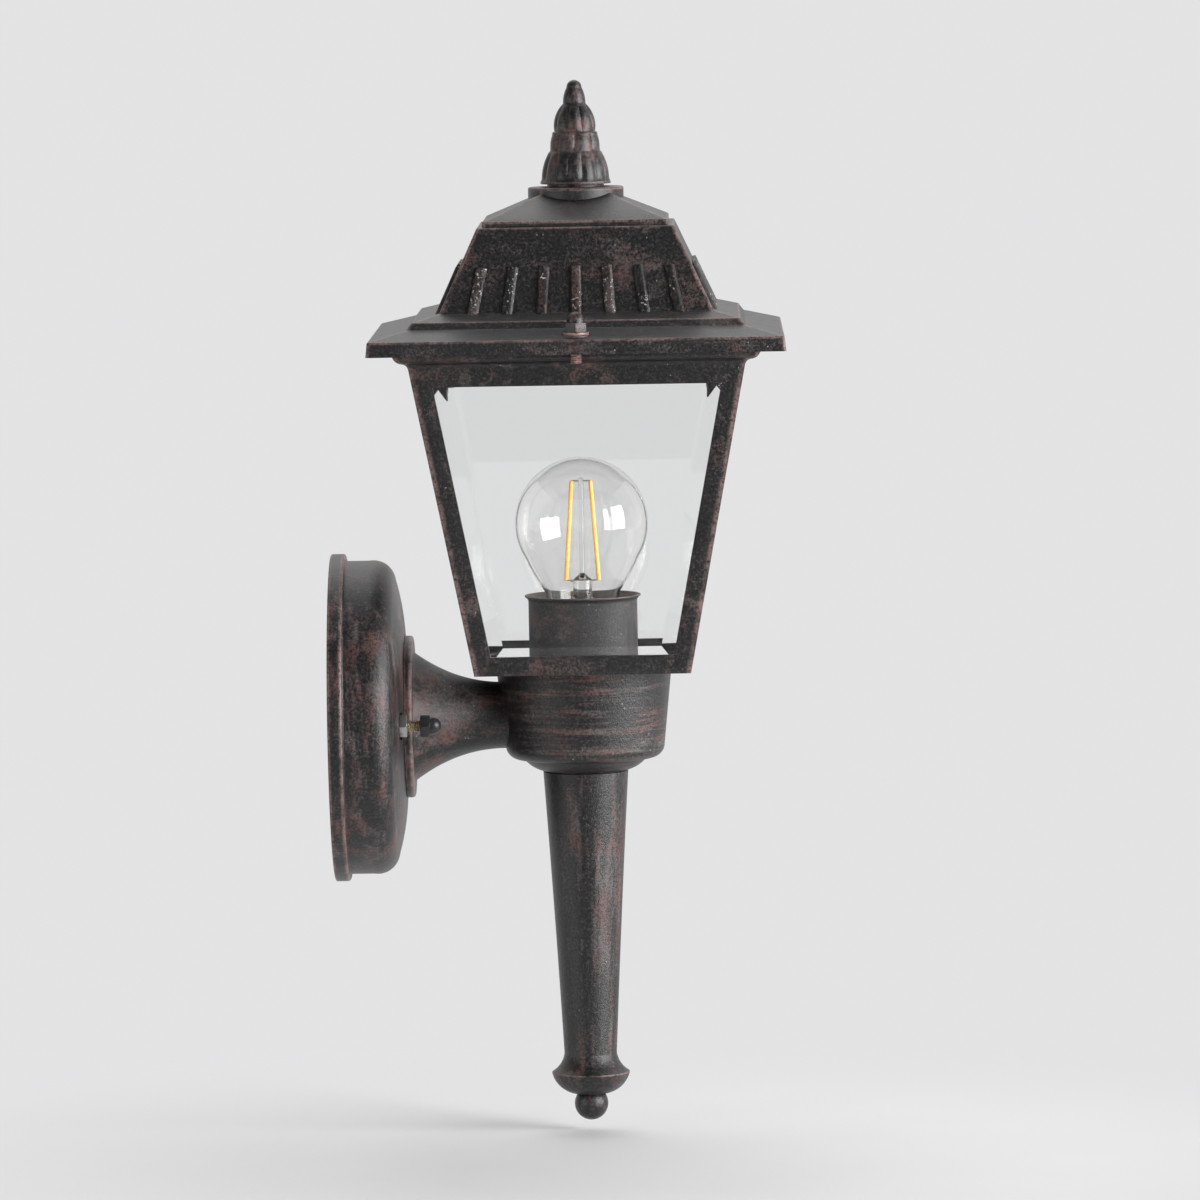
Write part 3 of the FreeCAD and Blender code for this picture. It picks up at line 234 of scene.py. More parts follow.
def skinned(name, rings, wears, closed):
    """Mesh object from rings of points in millimetres; a ring of one point is a pole."""
    mesh = bmesh.new()
    layer = mesh.verts.layers.float.new("wear")
    made = []
    for ring, wear in zip(rings, wears):
        made.append([mesh.verts.new([part * mm for part in point]) for point in ring])
        for vert, value in zip(made[-1], wear if isinstance(wear, list) else [wear] * len(ring)):
            vert[layer] = value
    pairs = list(zip(made, made[1:] + made[:1])) if closed else list(zip(made, made[1:]))
    for one, two in pairs:
        count = max(len(one), len(two))
        for i in range(count):
            j = (i + 1) % count
            quad = [one[i % len(one)], one[j % len(one)], two[j % len(two)], two[i % len(two)]]
            face = list(dict.fromkeys(quad))
            if len(face) > 2:
                mesh.faces.new(face)
    bmesh.ops.recalc_face_normals(mesh, faces=mesh.faces)
    data = bpy.data.meshes.new(name)
    mesh.to_mesh(data)
    mesh.free()
    return placed(name, data)


def placed(name, data):
    """Object at the origin with a mesh, lamp or camera."""
    piece = bpy.data.objects.new(name, data)
    bpy.context.scene.collection.objects.link(piece)
    return piece


def round_spot(along, centre, reach, turn, station):
    """Point round an axis through centre: a Z axis by default stands on the lantern's axis."""
    a, b = centre or (on_axis if along == "Z" else (0.0, 0.0))
    a, b = a + reach * math.cos(turn), b + reach * math.sin(turn)
    return (station, a, b) if along == "X" else (a, b, station)


def turned(name, outline, along="Z", centre=None, segments=128, lobes=None):
    """Turns an outline of (radius, station, wear) about an axis; lobes gives a radius change by turn."""
    rings = []
    for radius, station, _ in outline:
        ring = []
        for step in range(1 if radius < tiny else segments):
            turn = 2 * math.pi * step / segments
            reach = radius + (lobes(station, turn) if lobes and radius >= tiny else 0.0)
            ring.append(round_spot(along, centre, reach, turn, station))
        rings.append(ring)
    poles = len(rings[0]) == 1 and len(rings[-1]) == 1
    return skinned(name, rings, [point[2] for point in outline], closed=not poles)


def squared(name, outline, corner, steps=4):
    """Carries an outline of (half width, height, wear) round a square about the lantern's axis."""
    band = sizes().wear_band
    rings, wears = [], []
    for half, height, wear in outline:
        if half < tiny:
            rings.append([(axis_x, 0.0, height)])
            wears.append([0.0])
            continue
        bend = min(corner, half * 0.5)
        flat = half - bend
        stops = [(half, flat - band, wear)]
        for step in range(steps + 1):
            turn = math.pi / 2 * step / steps
            stops.append((flat + bend * math.cos(turn), flat + bend * math.sin(turn), 1.0))
        stops.append((flat - band, half, wear))
        spins = [Matrix.Rotation(quarter * math.pi / 2, 2) for quarter in range(4)]
        spots = [spin @ Vector(stop[:2]) for spin in spins for stop in stops]
        rings.append([(axis_x + spot.x, spot.y, height) for spot in spots])
        wears.append([stop[2] for stop in stops] * 4)
    poles = len(rings[0]) == 1 and len(rings[-1]) == 1
    return skinned(name, rings, wears, closed=not poles)


def applied(piece):
    """Makes the evaluated shape the piece's own mesh and takes its modifiers away."""
    shape = piece.evaluated_get(bpy.context.evaluated_depsgraph_get())
    data = bpy.data.meshes.new_from_object(shape)
    piece.modifiers.clear()
    piece.data = data
    return piece


def cut(piece, tools):
    """Cuts each tool out of a piece and removes the tools."""
    for tool in tools:
        change = piece.modifiers.new("Cut", "BOOLEAN")
        change.operation = "DIFFERENCE"
        change.solver = "EXACT"
        change.object = tool
    applied(piece)
    for tool in tools:
        bpy.data.objects.remove(tool)
    return piece


def joined(parts, name):
    """Merges the meshes of pieces into the first, which takes the name, and removes the others."""
    mesh = bmesh.new()
    for part in parts:
        mesh.from_mesh(part.data)
    mesh.to_mesh(parts[0].data)
    mesh.free()
    for part in parts[1:]:
        bpy.data.objects.remove(part)
    parts[0].name = name
    return parts[0]


def pin(radius, start, end, along="Z", centre=None, segments=64):
    """Plain closed cylinder, used as a tool or as a rod."""
    outline = [(0.0, start, 0.0), (radius, start, 0.0), (radius, end, 0.0), (0.0, end, 0.0)]
    return turned("pin", outline, along, centre, segments)


def merge_flat(mesh):
    """Joins neighbouring faces that lie in one plane where the joined face has no inward corner."""
    flat = math.radians(0.6)
    for edge in list(mesh.edges):
        if not edge.is_valid or len(edge.link_faces) != 2:
            continue
        one, two = edge.link_faces
        shared = [rim for rim in one.edges if two in rim.link_faces]
        common = set(one.verts) & set(two.verts)
        ends = [vert for vert in common if sum(vert in rim.verts for rim in shared) == 1]
        loops = [[loop for loop in vert.link_loops if loop.face in (one, two)] for vert in ends]
        widths = [sum(loop.calc_angle() for loop in at_end) for at_end in loops]
        simple = len(common) == len(shared) + 1 and max(widths, default=0.0) < math.pi + flat
        if simple and one.normal.angle(two.normal, math.pi) < flat:
            made = bmesh.utils.face_join((one, two))
            if made:
                made.normal_update()
    straight = []
    for vert in mesh.verts:
        if len(vert.link_edges) == 2:
            back, ahead = (edge.other_vert(vert).co - vert.co for edge in vert.link_edges)
            if back.angle(ahead, 0.0) > math.pi - flat:
                straight.append(vert)
    bmesh.ops.dissolve_verts(mesh, verts=straight)


def softened(node, width, segments=2, angle=32.0):
    """Merged copy of a CAD node with its sharp edges rounded over."""
    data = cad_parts[node].data.copy()
    mesh = bmesh.new()
    mesh.from_mesh(data)
    bmesh.ops.remove_doubles(mesh, verts=mesh.verts, dist=1e-6)
    mesh.normal_update()
    merge_flat(mesh)
    mesh.to_mesh(data)
    mesh.free()
    piece = placed(node + "_dressed", data)
    bevel = piece.modifiers.new("Edges", "BEVEL")
    bevel.width = width * mm
    bevel.segments = segments
    bevel.angle_limit = math.radians(angle)
    bevel.use_clamp_overlap = True
    bevel.miter_outer = "MITER_ARC"
    return applied(piece)


def coated(piece, finish):
    """Gives a piece or a frame's node its one finish."""
    piece.data.materials.clear()
    piece.data.materials.append(finish)


def fitted(piece, body, finish, slot, *nodes, angle=38.0):
    """Smooths a piece except across edges sharper than an angle, and gives it its finish, the body
    that carries it and the nodes that it stands for."""
    piece.data.shade_smooth()
    piece.data.set_sharp_from_angle(angle=math.radians(angle))
    coated(piece, finish)
    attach(piece, body)
    if nodes:
        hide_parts(*nodes)


def threaded(radius, start, end, along, centre):
    """Closed rod with a helical thread all the way along."""
    rows, segments, depth, pitch = 6, 28, 0.34, sizes().thread_pitch
    steps = int(round((end - start) / pitch * rows, 3))
    rings = [[round_spot(along, centre, 0.0, 0.0, start)]]
    for row in range(steps + 1):
        station = start + (end - start) * row / steps
        ring = []
        for step in range(segments):
            phase = ((station - start) / pitch - step / segments) % 1.0
            groove = depth * min(1.0, max(0.0, 3.0 * abs(phase - 0.5) - 0.25))
            ring.append(round_spot(along, centre, radius - groove, 2 * math.pi * step / segments, station))
        rings.append(ring)
    rings.append([round_spot(along, centre, 0.0, 0.0, end)])
    return skinned("stud", rings, [0.0] * len(rings), closed=False)


# ---- finishes


class Signal:
    """A node's output that takes part in Python expressions, each of which adds its Math node."""

    def __init__(self, tree, socket):
        self.tree = tree
        self.socket = socket

    def maths(self, operation, *values):
        return self.tree.node("ShaderNodeMath", {"operation": operation}, dict(enumerate(values)))

    def __add__(self, other):
        return self.maths("ADD", self, other)

    def __radd__(self, other):
        return self.maths("ADD", other, self)

    def __sub__(self, other):
        return self.maths("SUBTRACT", self, other)

    def __mul__(self, other):
        return self.maths("MULTIPLY", self, other)

    def __rmul__(self, other):
        return self.maths("MULTIPLY", other, self)

    def __rtruediv__(self, other):
        return self.maths("DIVIDE", other, self)

    def __abs__(self):
        return self.maths("ABSOLUTE", self)

    def most(self, other):
        return self.maths("MAXIMUM", self, other)

    def ramp(self, start, end):
        """Smooth step from 0 at start to 1 at end; start may be the larger."""
        inputs = {"Value": self, "From Min": min(start, end), "From Max": max(start, end)}
        inputs["To Min"], inputs["To Max"] = (1.0, 0.0) if start > end else (0.0, 1.0)
        return self.tree.node("ShaderNodeMapRange", {"interpolation_type": "SMOOTHSTEP"}, inputs)


class Tree:
    """A node tree, and how a node is added to it."""

    def __init__(self, tree):
        self.tree = tree

    def node(self, kind, settings=None, inputs=None, output=0):
        """Adds a node: its settings first, then the values or links of its sockets."""
        made = self.tree.nodes.new(kind)
        for key, value in (settings or {}).items():
            setattr(made, key, value)
        for key, value in (inputs or {}).items():
            socket = made.inputs[key]
            if isinstance(value, (Signal, list)):
                for signal in value if isinstance(value, list) else [value]:
                    self.tree.links.new(signal.socket, socket)
            else:
                alpha = (1.0,) if socket.type == "RGBA" and len(value) == 3 else ()
                socket.default_value = (*value, *alpha) if alpha else value
        return Signal(self, made.outputs[output] if made.outputs else None)


class Finish(Tree):
    """One material, or the world, and the nodes that make it."""

    def __init__(self, name, kind="materials"):
        self.owner = getattr(bpy.data, kind).new(name)
        self.owner.use_nodes = True
        super().__init__(self.owner.node_tree)
        self.tree.nodes.clear()

    def place(self):
        """Object coordinates in millimetres."""
        spot = self.node("ShaderNodeTexCoord", output="Object")
        return self.node("ShaderNodeVectorMath", {"operation": "SCALE"}, {0: spot, "Scale": 1 / mm})

    def moved(self, place, way, operation="ADD"):
        return self.node("ShaderNodeVectorMath", {"operation": operation}, {0: place, 1: way})

    def stretched(self, place, by, turn=(0.0, 0.0, 0.0)):
        inputs = {"Vector": place, "Scale": by, "Rotation": turn}
        return self.node("ShaderNodeMapping", {"vector_type": "POINT"}, inputs)

    def noise(self, place, scale, detail=3.0, rough=0.55, warp=0.0):
        inputs = {"Vector": place, "Scale": scale, "Detail": detail, "Roughness": rough, "Distortion": warp}
        return self.node("ShaderNodeTexNoise", {"noise_dimensions": "3D"}, inputs)

    def specks(self, place, scale):
        """Distance from scattered points, for small spots."""
        return self.node("ShaderNodeTexVoronoi", {"feature": "F1"}, {"Vector": place, "Scale": scale})

    def part(self, place, which):
        """X, Y or Z of a vector."""
        return self.node("ShaderNodeSeparateXYZ", None, {0: place}, which)

    def ray(self, kind):
        return self.node("ShaderNodeLightPath", output=f"Is {kind} Ray")

    def mix(self, factor, one, two):
        """Colour one where factor is 0 and colour two where it is 1."""
        return self.node("ShaderNodeMix", {"data_type": "RGBA"}, {0: factor, 6: one, 7: two}, 2)

    def either(self, factor, one, two):
        """Shader one where factor is 0 and shader two where it is 1."""
        return self.node("ShaderNodeMixShader", None, {0: factor, 1: one, 2: two})

    def bump(self, height, strength, distance):
        inputs = {"Strength": strength, "Distance": distance, "Height": height}
        return self.node("ShaderNodeBump", None, inputs)

    def surface(self, **inputs):
        """Principled shader whose sockets are named with underscores for spaces."""
        sockets = {key.replace("_", " "): value for key, value in inputs.items()}
        return self.node("ShaderNodeBsdfPrincipled", None, sockets)

    def done(self, shader, kind="Material"):
        self.node(f"ShaderNodeOutput{kind}", None, {"Surface": shader})
        return self.owner


# Brushed paint of each casting: how the brush marks stretch and turn, how much the brown hides, the
# lacquer's roughness and the pattern's shift.
straight_on = (0.0, 0.0, 0.0)
brushwork = {
    "Canopy": ((0.20, 0.17, 0.035), (0.30, 0.0, 0.0), 0.74, 0.36, 3.0),
    "Arm": ((0.06, 0.13, 0.13), (0.2, 0.5, 0.0), 0.62, 0.36, 11.0),
    "Cup": ((0.030, 0.030, 0.50), straight_on, 0.50, 0.36, 7.0),
    "Tail": ((0.24, 0.24, 0.018), straight_on, 0.48, 0.36, 5.0),
    "Ball": ((0.25, 0.25, 0.25), straight_on, 0.35, 0.30, 17.0),
    "Cage": ((0.14, 0.14, 0.09), straight_on, 0.45, 0.38, 13.0),
    "Clip": ((0.3, 0.3, 0.3), straight_on, 0.2, 0.36, 23.0),
    "Roof": ((0.09, 0.09, 0.22), straight_on, 0.25, 0.38, 19.0),
    "Rib": ((0.22, 0.22, 0.06), straight_on, 0.6, 0.34, 29.0),
    "Nut": ((0.5, 0.5, 0.5), straight_on, 0.45, 0.30, 31.0),
    "Finial": ((0.13, 0.13, 0.10), straight_on, 0.60, 0.30, 37.0),
    "Sleeve": ((0.06, 0.06, 0.12), straight_on, 0.55, 0.50, 43.0),
}


def cast_paint(name, corners=0.0, chips=0.0, fine_mix=0.0, band=None):
    """Dark paint with copper brown brushed over it along one direction.

    corners wears the lantern's upright corners, chips bares small spots of metal, fine_mix breaks the
    brown up into faint grains, and band is a height about which the brown gathers, with its spread.
    """
    streak, turn, cover, sheen, offset = brushwork[name]
    finish = Finish(f"{name} paint")
    hue = colours()
    place = finish.place()
    moved = finish.moved(place, (offset, offset * 1.7, offset * 0.6))
    brushed = finish.stretched(moved, streak, turn)
    cloud = finish.noise(moved, 0.035, 2.0, 0.5, 0.6) - 0.5
    strokes = finish.noise(brushed, 1.0, 3.0, 0.55, 0.2) - 0.5
    hairs = finish.noise(brushed, 4.0, 3.0, 0.6) - 0.5
    grain = finish.noise(place, 1.1, 4.0, 0.72)
    fine = finish.noise(place, 3.2, 1.0, 0.5)

    # Where the brown lies
    level = 0.17 - 0.20 * cover
    reach = strokes + cloud * 0.7 + hairs * 0.35 + (grain - 0.5) * (0.35 + 0.45 * fine_mix)
    if band:
        reach = reach + abs(finish.part(place, 2) - band[0]).ramp(band[1], 0.0) * 0.08
    mask = reach.ramp(level - 0.10, level + 0.27)

    # Where edges are rubbed
    worn = finish.node("ShaderNodeAttribute", {"attribute_name": "wear"}, None, "Fac")
    if corners > 0:
        across = abs(finish.part(place, 0) - axis_x)
        gap = abs(across - abs(finish.part(place, 1)))
        worn = worn.most(gap.ramp(corners, corners * 0.35))
    patchy = finish.noise(moved, 0.16, 3.0, 0.6).ramp(0.36, 0.60)
    rub = worn * (0.25 + 0.75 * patchy) * grain.ramp(0.34, 0.52)

    # Colours, from the paint up
    # Painted shade and light on the grain: the paint is darker in the grain's hollows and lighter on its tops,
    # where the bump raises it.
    grain_hollow_shade, grain_top_light = (tuple(part * share for part in hue.paint) for share in (0.55, 1.9))
    base = finish.mix(grain.ramp(0.40, 0.62), grain_hollow_shade, grain_top_light)
    tone = finish.mix(finish.noise(moved, 0.09, 3.0).ramp(0.42, 0.62), hue.brushing, hue.bloom_and_grain_highlight)
    veil = mask * grain.ramp(0.36, 0.58) * 0.5 + mask * 0.35
    base = finish.mix(veil * (1.0 - 0.35 * fine_mix), base, tone)
    base = finish.mix(rub * 0.7, base, hue.rubbed)
    # Painted highlight: the highest points of the grain's relief turn lighter grey.
    grain_top_highlight = (grain * 0.6 + fine * 0.4).ramp(0.56, 0.66) * 0.4
    base = finish.mix(grain_top_highlight, base, hue.bloom_and_grain_highlight)
    # Painted glints: small pale specks stand in for the paint's sparkle; where chips is set, real chips of
    # bare metal join them.
    spots = finish.specks(place, 0.40).ramp(0.11, 0.06) * finish.noise(moved, 0.09, 1.0).ramp(0.55, 0.66) * 0.6
    if chips > 0:
        flakes = finish.noise(place, 0.75, 3.0, 0.7).ramp(0.70 - 0.05 * chips, 0.73 - 0.05 * chips)
        spots = spots.most(flakes * finish.noise(moved, 0.07, 1.0).ramp(0.50, 0.58))
    base = finish.mix(spots * 0.75, base, hue.chips)

    rough = sheen - 0.09 + 0.08 * mask + 0.24 * grain
    height = grain * 0.7 + fine * 0.3 + strokes * 0.3 + mask * 0.12
    normal = finish.bump(height, 0.75, 0.0003)
    return finish.done(
        finish.surface(Base_Color=base, Roughness=rough, Normal=normal, Specular_IOR_Level=0.55, IOR=1.5)
    )


def metal(name, tint, rough, tarnish=0.35):
    """Plated or bare metal with fine scratches and dull clouds."""
    finish = Finish(name)
    place = finish.place()
    lines = finish.noise(place, 3.0, 3.0, 0.6)
    cloud = finish.noise(place, 0.5, 2.0)
    dull = tuple(part * 0.55 for part in tint)
    base = finish.mix(cloud.ramp(0.42, 0.66) * tarnish, tint, dull)
    normal = finish.bump(lines, 0.15, 0.00008)
    return finish.done(
        finish.surface(Base_Color=base, Metallic=1.0, Roughness=rough + 0.18 * cloud, Normal=normal)
    )


def plain(name, tint, rough, mottle=0.15, relief=0.1, grain_scale=1.2, **extra):
    """Lacquer, plastic or glaze: nearly even, with faint mottling and relief."""
    finish = Finish(name)
    cloud = finish.noise(finish.place(), grain_scale, 3.0)
    darker = tuple(part * (1 - mottle) for part in tint)
    lighter = tuple(min(part * (1 + mottle) + 0.004, 1.0) for part in tint)
    base = finish.mix(cloud.ramp(0.35, 0.65), darker, lighter)
    normal = finish.bump(cloud, relief, 0.0001)
    return finish.done(
        finish.surface(Base_Color=base, Roughness=rough + 0.1 * cloud, Normal=normal, **extra)
    )


def clear_glass(name, tint, ior, waviness):
    """Clear glass that lets the lamps' light through to what is behind it."""
    finish = Finish(name)
    place = finish.place()
    wave = finish.noise(place, 0.05, 1.0)
    rough = 0.004 + 0.02 * finish.noise(place, 0.35, 4.0, 0.6).ramp(0.5, 0.75)
    normal = finish.bump(wave, waviness, 0.0005)
    glass = finish.surface(Base_Color=tint, Roughness=rough, IOR=ior, Transmission_Weight=1.0, Normal=normal)
    passing = finish.node("ShaderNodeBsdfTransparent", None, {"Color": tint})
    return finish.done(finish.either(finish.ray("Shadow"), glass, passing))


def phosphor_painted_glow():
    finish = Finish("Phosphor")
    cloud = finish.noise(finish.place(), 1.6, 2.0)
    base = finish.mix(cloud.ramp(0.4, 0.7) * 0.6, colours().filament, (1.0, 0.74, 0.34))
    # Painted glow: a faint emission on the filaments, which light nothing and are no lamp.
    glow = {"Emission_Color": base, "Emission_Strength": 0.10}
    return finish.done(finish.surface(Base_Color=base, Roughness=0.55, Specular_IOR_Level=0.3, **glow))


# ---- pieces


class Piece:
    """What every operator that makes pieces shares."""

    bl_options = {"REGISTER", "UNDO"}

    def execute(self, context):
        self.make()
        return {"FINISHED"}


class SCONCE_OT_canopy(Piece, bpy.types.Operator):
    """Round wall canopy with its rim, spot faces and holes."""

    bl_idname = "sconce.canopy"
    bl_label = "Wall canopy"

    def make(self):
        rim_t, pan_r, wall, straight, wire_hole_r = 5.0, 53.0, 2.0, 13.0, 8.0
        shoulder_r, shoulder_x, face_r = 46.6, 21.6, 28.0
        spot_face_r, stud_hole_r, arm_screw_y, earth_hole_r, earth_y = 4.7, 2.2, 17.5, 2.0, -16.0
        outer = [(pan_r - wall, 0.0), (rim_r, 0.0, sizes().edge), (rim_r, rim_t, 0.9), (pan_r, rim_t, 0.5)]
        outer.append((pan_r, straight))
        outer += arc((pan_r, straight), (shoulder_r, shoulder_x), 2.3, 14)
        outer += arc((shoulder_r, shoulder_x), (face_r, pan_depth), 0.6, 10)
        outer.append((wire_hole_r, pan_depth))
        back_x = pan_depth - wall
        inner = [(wire_hole_r, back_x), (face_r, back_x), (shoulder_r - 0.6, shoulder_x - wall)]
        inner += arc(inner[-1], (pan_r - wall, straight - 0.6), -1.7, 8)
        pan = turned("wall_canopy_dressed", rounded(outer + inner), "X", segments=192)
        inside, outside = 10.0, pan_depth + 3
        holes = []
        for side in (-1, 1):
            stud, screw = (side * stud_y, 0.0), (0.0, side * arm_screw_y)
            holes.append((spot_face_r, low["wall_hex_nuts"].x, stud))
            holes += [(stud_hole_r, inside, stud), (stud_hole_r, inside, screw)]
        holes.append((earth_hole_r, inside, (earth_y, 0.0)))
        cut(pan, [pin(radius, start, outside, "X", spot) for radius, start, spot in holes])
        fitted(pan, "fixture", cast_paint("Canopy"), "castings", "wall_canopy")


class SCONCE_OT_studs(Piece, bpy.types.Operator):
    """Threaded wall and roof studs with their nuts and washers."""

    bl_idname = "sconce.studs"
    bl_label = "Studs and nuts"

    def make(self):
        radius, head_r, head_t, thread_start = 1.95, 3.3, 2.2, 2.0
        start, end = low["wall_studs"].x, high["wall_studs"].x
        head = [(0.0, start), (head_r, start, 0.4), (head_r, start + head_t, 0.2), (0.0, start + head_t)]
        parts = []
        for side in (-1, 1):
            spot = (side * stud_y, 0.0)
            parts.append(threaded(radius, start + thread_start, end, "X", spot))
            parts.append(turned("head", rounded(head, closed=False), "X", spot, 48))
        yellow = metal("Yellow zinc", colours().thread, 0.30)
        studs = joined(parts, "wall_studs_dressed")
        fitted(studs, "fixture", yellow, "yellow_zinc", "wall_studs", angle=60)

        start, end = low["roof_studs"].z, high["roof_studs"].z
        pair = [threaded(radius, start, end, "Z", (axis_x, side * roof_stud_y)) for side in (-1, 1)]
        copper = plain("Copper lacquer", (0.25, 0.145, 0.130), 0.30, 0.35, 0.25, 0.9)
        studs = joined(pair, "roof_studs_dressed")
        fitted(studs, "fixture", copper, "yellow_zinc", "roof_studs", angle=60)

        zinc = metal("Bright zinc", colours().zinc, 0.28, tarnish=0.5)
        lacquer = plain("Black lacquer", (0.016, 0.016, 0.019), 0.34, 0.3, 0.25, 0.9)
        painted = cast_paint("Nut")
        fitted(softened("wall_hex_nuts", 0.14), "fixture", zinc, "zinc_steel", "wall_hex_nuts")
        for place, finish in (("wall", lacquer), ("roof", painted)):
            for side in ("near", "far"):
                node = f"{place}_cap_nut_{side}"
                fitted(softened(node, 0.22, 3), f"{place}_nut_{side}", finish, "dark_nuts", node)
        fitted(softened("roof_washers", 0.12), "roof", copper, "dark_sheet", "roof_washers")


class SCONCE_OT_arm(Piece, bpy.types.Operator):
    """Trumpet arm with its round flange."""

    bl_idname = "sconce.arm"
    bl_label = "Arm"

    def make(self):
        flange_r, flange_x, cup_x = high["arm"].y, pan_depth + 2.9, axis_x - 26.2
        neck_r, root_r, hollow_r, wire_r, end_x = 11.2, 21.4, 13.6, 5.0, cup_x + 1.2
        outer = [(hollow_r, pan_depth), (flange_r, pan_depth, 0.3), (flange_r, flange_x, 1.1)]
        outer.append((root_r + 0.5, flange_x, 0.5))
        bell = []
        for step in range(25):
            t = step / 24
            flare = (root_r - neck_r) * (1 - t) ** 2.15 * (1 - 0.05 * t)
            bell.append((neck_r + flare, flange_x + (0.02 + 0.98 * t) * (cup_x - flange_x)))
        end = [(neck_r, end_x), (wire_r, end_x), (wire_r, cup_x - 14.0), (hollow_r - 5.0, cup_x - 16.5)]
        arm = turned("arm_dressed", rounded(outer + bell + end), "X")
        fitted(arm, "fixture", cast_paint("Arm"), "castings", "arm")


class SCONCE_OT_cup(Piece, bpy.types.Operator):
    """Round cup under the lantern."""

    bl_idname = "sconce.cup"
    bl_label = "Cup"

    def make(self):
        waist_z, waist_r, turn_z, turn_r = -10.4, 26.9, -14.8, 21.9
        foot_r, step, wall, hole, proud = 14.3, 1.0, 2.4, 3.0, 0.7
        boss_r, boss_h, boss_reach = 3.7, 12.3, 23.0 * math.sqrt(0.5)
        bed_z = cup_foot_z + 4.5
        outer = [(hole, cup_foot_z), (foot_r, cup_foot_z, 0.4)]
        outer += arc((foot_r, cup_foot_z), (turn_r - step, turn_z), 0.7, 8)
        outer.append((turn_r, turn_z, 0.35))
        outer += arc((turn_r, turn_z), (waist_r, waist_z), 1.5, 12)
        outer.append((cup_top_r + proud, cup_top_z, 0.3))
        inner = [(cup_top_r - wall, cup_top_z), (waist_r - wall, waist_z + 0.8)]
        inner += [(turn_r - 3.4, bed_z + 0.6), (hole, bed_z)]
        parts = [turned("cup_dressed", rounded(outer + inner), segments=160)]
        for reach in (-boss_reach, boss_reach):
            spot = (axis_x + reach, reach)
            parts.append(pin(boss_r, cup_top_z - boss_h, cup_top_z - 0.05, "Z", spot, 40))
        fitted(joined(parts, "cup_dressed"), "fixture", cast_paint("Cup"), "castings", "cup")


class SCONCE_OT_tail(Piece, bpy.types.Operator):
    """Long fluted tail and the ball under it."""

    bl_idname = "sconce.tail"
    bl_label = "Tail and ball"

    def make(self):
        top_r, neck_r, flare_r, end_r, hole = 14.4, 8.9, 13.3, 4.6, 3.0
        neck_z, flare_z = tail_end_z + 13.9, tail_end_z + 7.5
        outline = [(hole, tail_end_z), (end_r, tail_end_z)]
        outline += arc((end_r, tail_end_z), (flare_r, flare_z), 1.9, 14)
        outline[-1] = (*outline[-1], 0.6)
        outline += arc((flare_r, flare_z), (neck_r, neck_z), -0.9, 12)
        outline[-1] = (*outline[-1], 0.5)
        outline += arc((neck_r, neck_z), (top_r, cup_foot_z - 0.4), -0.2, 24)
        outline += [(top_r - 0.4, cup_foot_z), (hole, cup_foot_z)]
        tail = turned("tail_dressed", rounded(outline))
        fitted(tail, "fixture", cast_paint("Tail"), "castings", "tail")

        ball_r, ball_neck, steps = 5.7, 4.1, 28
        centre_z = low["tail_ball"].z + ball_r
        outline = [(0.0, centre_z - ball_r)]
        sweep = math.pi - math.asin(ball_neck / ball_r)
        for step in range(1, steps + 1):
            turn = -math.pi / 2 + sweep * step / steps
            outline.append((ball_r * math.cos(turn), centre_z + ball_r * math.sin(turn)))
        outline += [(ball_neck, tail_end_z + 0.2), (0.0, tail_end_z + 0.2)]
        ball = turned("tail_ball_dressed", unworn(outline), segments=64)
        fitted(ball, "fixture", cast_paint("Ball"), "castings", "tail_ball", angle=50)


class SCONCE_OT_cage(Piece, bpy.types.Operator):
    """Lantern cage: floor, posts, rails and cornice."""

    bl_idname = "sconce.cage"
    bl_label = "Cage"

    def make(self):
        paint = cast_paint("Cage", corners=2.2, fine_mix=0.8)
        fitted(softened("cage", 0.5, 3, 40), "fixture", paint, "castings", "cage", angle=30)


class SCONCE_OT_glazing(Piece, bpy.types.Operator):
    """Finish of the four bevelled panes, and the clips that hold them."""

    bl_idname = "sconce.glazing"
    bl_label = "Panes and clips"

    def make(self):
        glass = clear_glass("Pane glass", (0.995, 0.998, 0.996), 1.5, 0.02)
        for side in ("near", "front", "far", "wall"):
            coated(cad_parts[f"pane_{side}"], glass)
        fitted(softened("glass_clips", 0.12), "fixture", cast_paint("Clip"), "dark_sheet", "glass_clips")


def unworn(points):
    """Outline of (u, v, wear) through points, with no rounding and no wear."""
    return [(u, v, 0.0) for u, v in points]


# The roof's outer corners as half width, height above the cage and rounding: the fascia, eave, riser
# and ledge, the drum's foot and top, and the fascia of the hip.
tiers = [
    (69.4, -1.8, 0.4), (68.9, 3.1, 0.55), (56.2, 6.4, 0.5), (54.4, 8.8, 0.55),
    (45.6, 11.1, 0.5), (32.9, 39.0, 0.55), (31.1, 39.0, 0.25), (31.1, 40.9, 0.55),
]
drum_foot, drum_top = tiers[4], tiers[5]
rib_root = 0.9  # how far below the drum's foot a rib starts


